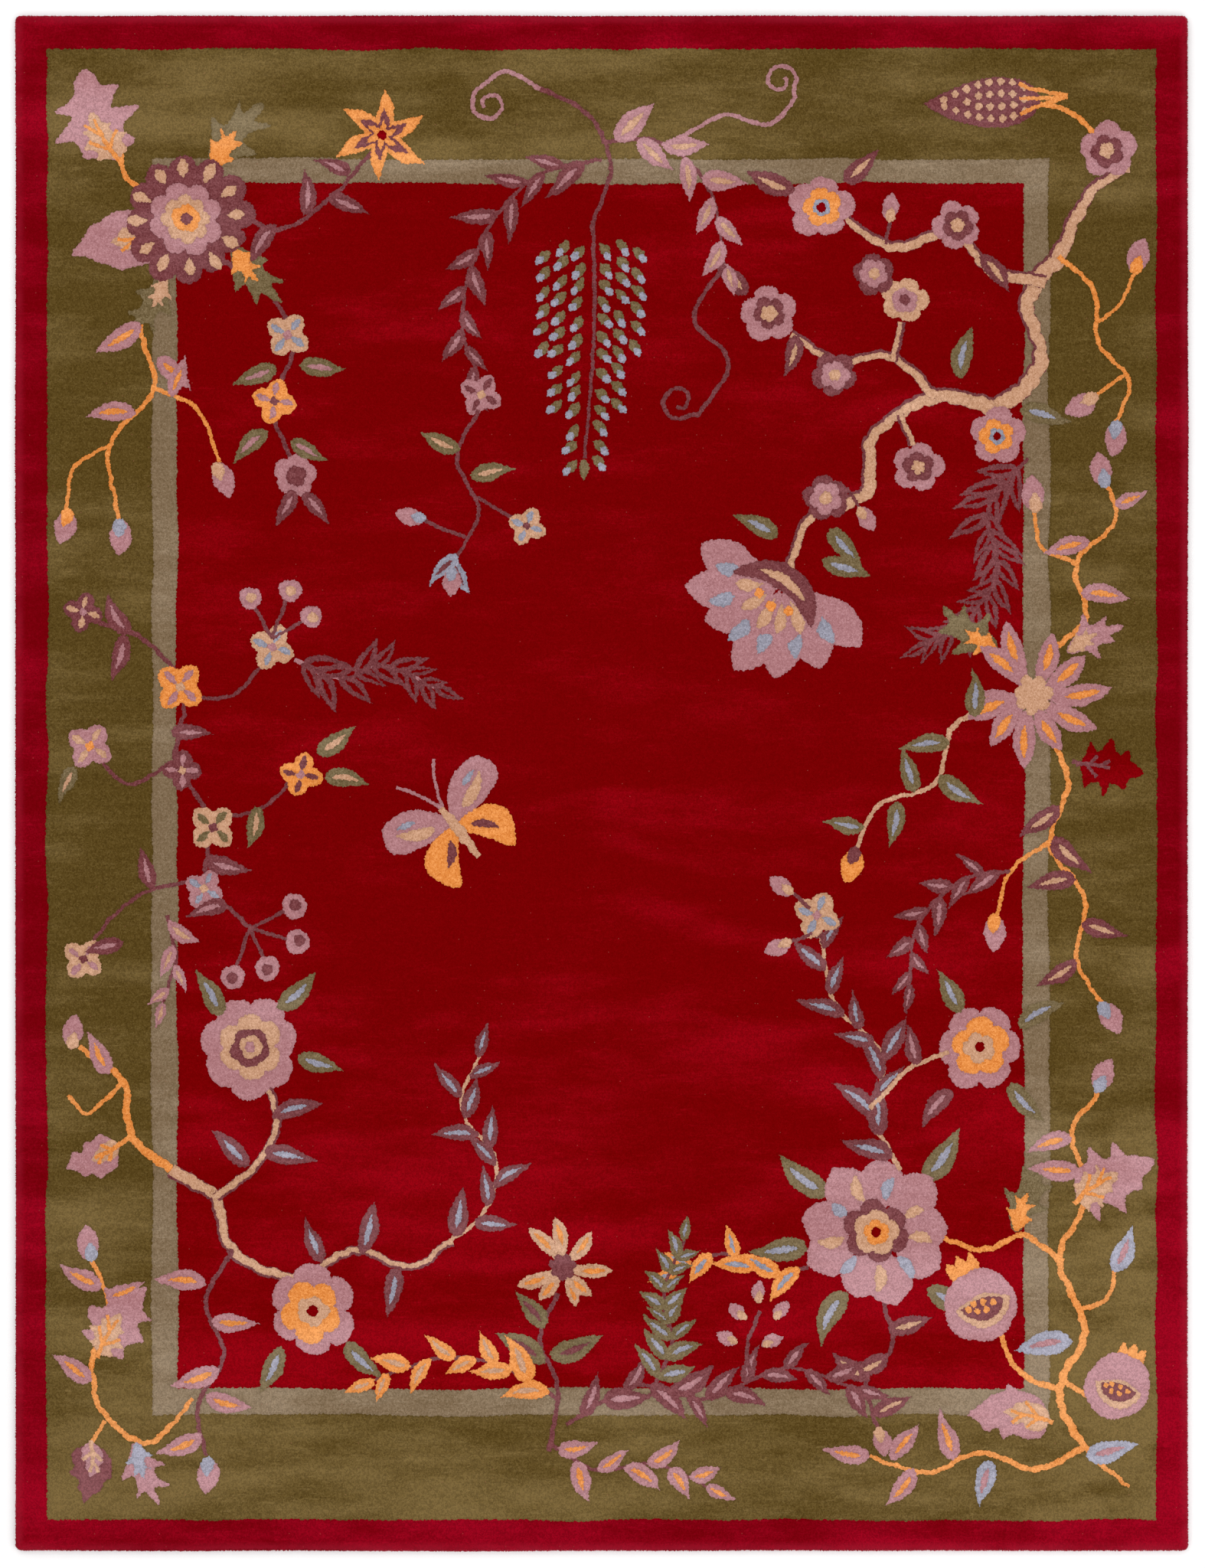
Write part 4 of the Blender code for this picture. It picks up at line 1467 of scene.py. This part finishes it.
def napSheenNodes(tree, position, across, along, sheenBlotch, sideways):
    # painted sheen of the leaning pile: lighter towards the near end, on the end and side bands and in one
    # corner
    def lies(value, key):
        return ramp(tree, value, *paintedNapSheen[key])

    napSheen = mathNode(tree, "ADD", lies(along, "nearEnd"), lies(along, "farBand"))
    napSheen = mathNode(tree, "ADD", napSheen, lies(sideways, "sideBands"))
    corner = mathNode(tree, "MULTIPLY", lies(across, "cornerAcross"), lies(along, "cornerAlong"))
    corner = mathNode(tree, "MULTIPLY", corner, lies(sheenBlotch, "cornerSheenBlotch"))
    napSheen = mathNode(tree, "ADD", napSheen, corner)
    for key in ("patch", "sheenCloud", "streaks"):
        napSheen = mathNode(tree, "ADD", napSheen, lies(noise(tree, position, *pileNoises[key]), key))
    return napSheen


def rimSheenNodes(tree, sideways, endwise, sheenBlotch):
    # painted sheen on the last rows before the cut edge, stronger in some places
    shares = []
    for value, half in ((sideways, halfWidth), (endwise, halfLength)):
        shares.append(ramp(tree, value, half - rimSheen["reach"], half - rimSheen["full"]))
    share = mathNode(tree, "MAXIMUM", *shares)
    return mathNode(tree, "MULTIPLY", share, ramp(tree, sheenBlotch, *rimSheen["sheenBlotch"]))


def lintNodes(tree, position):
    # a pale speck in a few of the cells
    specks, _, pick = cells(tree, position, lintSpecks["scale"], voronoi_dimensions="2D")
    near = ramp(tree, specks.outputs["Distance"], *lintSpecks["size"])
    return mathNode(tree, "MULTIPLY", near, mathNode(tree, "GREATER_THAN", pick, lintSpecks["above"]))


def cutPileGroup():
    # tufts, rows and painted sheen in patches and along the rim, shared by every yarn
    tree = bpy.data.node_groups.new("cutPile", "ShaderNodeTree")
    face = tree.interface
    face.new_socket("Position", in_out="INPUT", socket_type="NodeSocketVector")
    for name in ("Tone", "NapSheen", "RimSheen", "Lint", "Height"):
        face.new_socket(name, in_out="OUTPUT", socket_type="NodeSocketFloat")
    inside = tree.nodes.new("NodeGroupInput")
    inside.location = (-2300, 0)
    position = inside.outputs["Position"]
    outside = tree.nodes.new("NodeGroupOutput")
    tuft, tuftTone, _ = cells(tree, stretched(tree, position, tuftCells["stretch"]), tuftCells["scale"])
    tuft.inputs["Randomness"].default_value = tuftCells["randomness"]
    grain = {key: noise(tree, position, *pileNoises[key]) for key in ("fibre", "rows", "clumps")}
    tone = mathNode(tree, "MULTIPLY", tuftTone, toneShares["tuft"])
    for key in ("fibre", "rows", "clumps"):
        tone = mathNode(tree, "MULTIPLY_ADD", grain[key], toneShares[key], tone)
    height = mathNode(tree, "SUBTRACT", 1.0, tuft.outputs["Distance"])
    for key in ("fibre", "rows"):
        height = mathNode(tree, "MULTIPLY_ADD", grain[key], bumpShares[key], height)
    place = addNode(tree, "SeparateXYZ")
    tree.links.new(position, place.inputs["Vector"])
    across, along = place.outputs["X"], place.outputs["Y"]
    sideways = mathNode(tree, "ABSOLUTE", across)
    endwise = mathNode(tree, "ABSOLUTE", along)
    sheenBlotch = noise(tree, position, *pileNoises["sheenBlotch"])
    for name, value in (
        ("Tone", tone),
        ("NapSheen", napSheenNodes(tree, position, across, along, sheenBlotch, sideways)),
        ("RimSheen", rimSheenNodes(tree, sideways, endwise, sheenBlotch)),
        ("Lint", lintNodes(tree, position)),
        ("Height", height),
    ):
        tree.links.new(value, outside.inputs[name])
    return tree


def linear(r, g, b, gain=1.0):
    # a colour given as it looks on screen, 0 to 255
    def channel(value):
        value = value / 255
        return gain * (value / 12.92 if value <= 0.04045 else ((value + 0.055) / 1.055) ** 2.4)
    return (channel(r), channel(g), channel(b), 1.0)


def scaled(colour, share):
    return tuple(share * c for c in colour[:3]) + (1.0,)


yarnLooks = {
    # yarn: dark, middle and light tufts as they look on screen, and its painted sheen tone where the
    # leaning pile catches the light
    "field": ((111, 1, 2), (120, 1, 3), (129, 2, 6), (149, 4, 18)),
    "border": ((110, 1, 8), (119, 1, 11), (129, 2, 17), (153, 6, 30)),
    # the rim's tufts are border yarn painted lighter and pinker: painted sheen on the cut edge
    "rim": ((118, 4, 14), (138, 12, 26), (158, 26, 44), (170, 44, 62)),
    "olive": ((73, 54, 19), (89, 69, 29), (106, 85, 43), (124, 102, 60)),
    "taupe": ((109, 89, 63), (127, 105, 79), (145, 124, 99), (154, 134, 110)),
    "mauve": ((156, 102, 105), (175, 121, 125), (195, 143, 147), (196, 146, 152)),
    "plum": ((97, 43, 46), (119, 62, 65), (142, 85, 88), (140, 86, 90)),
    "cream": ((178, 128, 95), (201, 152, 120), (225, 178, 147), (222, 176, 146)),
    "orange": ((208, 114, 44), (232, 142, 68), (252, 168, 96), (248, 166, 98)),
    "sage": ((93, 76, 47), (116, 98, 67), (140, 122, 91), (138, 121, 92)),
    "blue": ((127, 124, 137), (150, 148, 162), (175, 173, 188), (176, 174, 190)),
}
studioGain = 1 / 1.07    # the stage's light on a level white surface, taken off the colours
wool = {
    "sheen": 0.02,
    "sheenRoughness": 0.4,
    "lowTone": (0.30, 0.50),      # tones over which dark turns to middle, and middle to light
    "highTone": (0.50, 0.70),
    "toneInNapSheen": 0.3,             # how much of the tufts' own tone shows in the painted sheen
    # the next four set the painted sheen of the leaning pile
    "napSheenRange": (0.10, 1.15),
    "grain": (0.34, 0.66),
    "sheenDark": 0.80,
    "sheenPale": 1.18,
    "lint": (196, 116, 104),
    "lintShare": 0.26,
    "creaseShade": (0.3, 1.0, 0.0, 0.16),  # painted shade in the partings: from, to, least, most
    "creaseShadeDark": 0.3,
    # painted sheen on the border's outer rows: its tone and how much of it shows
    "rim": (158, 28, 48),
    "rimSheenShare": 0.60,
    "roughness": (0.3, 0.7, 0.96, 0.82),
    "bump": 0.6,
    "bumpDepth": 0.0014,
}


def startMaterial(name):
    material = bpy.data.materials.new(name)
    material.use_nodes = True
    tree = material.node_tree
    return material, tree, tree.nodes["Principled BSDF"]


def addBump(tree, shader, height, strength, depth):
    bump = addNode(tree, "Bump")
    bump.inputs["Strength"].default_value = strength
    bump.inputs["Distance"].default_value = depth
    tree.links.new(height, bump.inputs["Height"])
    tree.links.new(bump.outputs["Normal"], shader.inputs["Normal"])


def yarnMaterial(yarn, group):
    dark, middle, pale, sheenColour = (linear(*tone, studioGain) for tone in yarnLooks[yarn])
    material, tree, shader = startMaterial(yarn + "Yarn")
    shader.inputs["Specular IOR Level"].default_value = 0.0
    shader.inputs["Sheen Weight"].default_value = wool["sheen"]
    shader.inputs["Sheen Roughness"].default_value = wool["sheenRoughness"]
    shader.inputs["Sheen Tint"].default_value = pale
    pileNode = addNode(tree, "Group", node_tree=group)
    tree.links.new(addNode(tree, "TexCoord").outputs["Object"], pileNode.inputs["Position"])
    tone = pileNode.outputs["Tone"]
    colour = mixColours(tree, ramp(tree, tone, *wool["lowTone"]), dark, middle)
    colour = mixColours(tree, ramp(tree, tone, *wool["highTone"]), colour, pale)
    # painted sheen: mixed towards a lighter tone where the leaning pile would catch the light
    napSheen = mathNode(tree, "MULTIPLY_ADD", tone, wool["toneInNapSheen"], pileNode.outputs["NapSheen"])
    sheenDark, sheenPale = scaled(sheenColour, wool["sheenDark"]), scaled(sheenColour, wool["sheenPale"])
    sheenTone = mixColours(tree, ramp(tree, tone, *wool["grain"]), sheenDark, sheenPale)
    colour = mixColours(tree, ramp(tree, napSheen, *wool["napSheenRange"]), colour, sheenTone)
    lint = mathNode(tree, "MULTIPLY", pileNode.outputs["Lint"], wool["lintShare"])
    colour = mixColours(tree, lint, colour, linear(*wool["lint"], studioGain))
    # painted shade in the partings where two colours meet
    creaseShade = addNode(tree, "Attribute", attribute_name="creaseShade")
    shade = ramp(tree, creaseShade.outputs["Fac"], *wool["creaseShade"])
    colour = mixColours(tree, shade, colour, scaled(dark, wool["creaseShadeDark"]))
    # painted sheen on the border's outer rows
    if yarn == "border":
        rimSheenShare = mathNode(tree, "MULTIPLY", pileNode.outputs["RimSheen"], wool["rimSheenShare"])
        colour = mixColours(tree, rimSheenShare, colour, linear(*wool["rim"], studioGain))
    tree.links.new(colour, shader.inputs["Base Color"])
    tree.links.new(ramp(tree, tone, *wool["roughness"]), shader.inputs["Roughness"])
    addBump(tree, shader, pileNode.outputs["Height"], wool["bump"], wool["bumpDepth"])
    return material


cloth = {
    "roughness": 0.9,
    "thread": {"Scale": 130, "Distortion": 1.2, "Detail Scale": 2.0},
    "slub": (None, 40, 3.0, 0.5),
    "slubShare": 0.5,
    "tone": (0.4, 1.4),
    "dark": (158, 145, 122),
    "pale": (196, 184, 160),
    "bump": 1.0,
    "bumpDepth": 0.0006,
}


def clothMaterial():
    # plain weave: bands of threads both ways, the upper one showing
    material, tree, shader = startMaterial("plainGround")
    shader.inputs["Roughness"].default_value = cloth["roughness"]
    position = addNode(tree, "TexCoord").outputs["Object"]
    threads = []
    for direction in ("X", "Y"):
        wave = addNode(tree, "TexWave", wave_type="BANDS", bands_direction=direction)
        for name, value in cloth["thread"].items():
            wave.inputs[name].default_value = value
        tree.links.new(position, wave.inputs["Vector"])
        threads.append(wave.outputs["Fac"])
    weave = mathNode(tree, "MAXIMUM", *threads)
    tone = mathNode(tree, "MULTIPLY_ADD", noise(tree, position, *cloth["slub"]), cloth["slubShare"], weave)
    tone = ramp(tree, tone, *cloth["tone"])
    colour = mixColours(tree, tone, linear(*cloth["dark"]), linear(*cloth["pale"]))
    tree.links.new(colour, shader.inputs["Base Color"])
    addBump(tree, shader, weave, cloth["bump"], cloth["bumpDepth"])
    return material


print("rug: finishing the yarns")
cutPile = cutPileGroup()
looks = {yarn: yarnMaterial(yarn, cutPile) for yarn in yarnLooks}
for yarn, piece in pile.items():
    piece.data.materials.append(looks[yarn])
    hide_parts("tufted_rug")
    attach(piece, "root")
# the rim's tufts take the border yarn's lighter, painted sheen copy
tufts.data.materials.append(looks["rim"])
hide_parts("tufted_rug")
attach(tufts, "root")
groundCloth.data.materials.append(clothMaterial())
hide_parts("tufted_rug")
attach(groundCloth, "root")


# Stage: a pale floor, soft light and a camera straight above
studio = {
    "frameWidth": 2.7414,      # metres of floor that the photograph's frame takes in, side to side
    "frameShare": 2048 / 1574,
    "middle": (0.0017, -0.0013),
    "lens": 100.0,
    "sensor": 36.0,
    "farthest": 100,
    "floor": 0.995,
    "floorSize": 240,
    "floorDrop": 0.0005,
    "floorRoughness": 0.8,
    "floorShine": 0.1,
    "world": 0.90,
    "lampSize": 4.0,
    # name, place, power
    "lamps": (("keyLight", (-2.5, 3.5, 5.0), 62), ("fillLight", (3.5, -3.0, 5.0), 72)),
}


def buildStage():
    bpy.ops.object.select_all(action="DESELECT")
    bpy.ops.mesh.primitive_plane_add(size=studio["floorSize"], location=(0, 0, -studio["floorDrop"]))
    floor = bpy.context.object
    floor.name = "studio_floor"
    material, _, shader = startMaterial("paleFloor")
    shader.inputs["Base Color"].default_value = (studio["floor"],) * 3 + (1.0,)
    shader.inputs["Roughness"].default_value = studio["floorRoughness"]
    shader.inputs["Specular IOR Level"].default_value = studio["floorShine"]
    floor.data.materials.append(material)
    world = bpy.data.worlds.new("studio")
    world.use_nodes = True
    world.node_tree.nodes["Background"].inputs["Color"].default_value = (1, 1, 1, 1)
    world.node_tree.nodes["Background"].inputs["Strength"].default_value = studio["world"]
    bpy.context.scene.world = world
    for name, place, power in studio["lamps"]:
        lamp = bpy.data.lights.new(name, "AREA")
        lamp.shape = "SQUARE"
        lamp.size = studio["lampSize"]
        lamp.energy = power
        holder = bpy.data.objects.new(name, lamp)
        holder.location = place
        holder.rotation_euler = (-Vector(place)).to_track_quat("-Z", "Y").to_euler()
        bpy.context.scene.collection.objects.link(holder)


def buildCamera():
    camera = bpy.data.cameras.new("aboveRug")
    camera.lens = studio["lens"]
    camera.sensor_width = studio["sensor"]
    camera.clip_end = studio["farthest"]
    holder = bpy.data.objects.new("aboveRug", camera)
    tall = studio["frameWidth"] * studio["frameShare"]
    above = tall * studio["lens"] / studio["sensor"]
    holder.location = (*studio["middle"], rugHigh.z + above)
    bpy.context.scene.collection.objects.link(holder)
    bpy.context.scene.camera = holder
    bpy.context.scene.view_settings.view_transform = "Standard"


print("rug: setting the stage")
buildStage()
buildCamera()
print("rug: done")
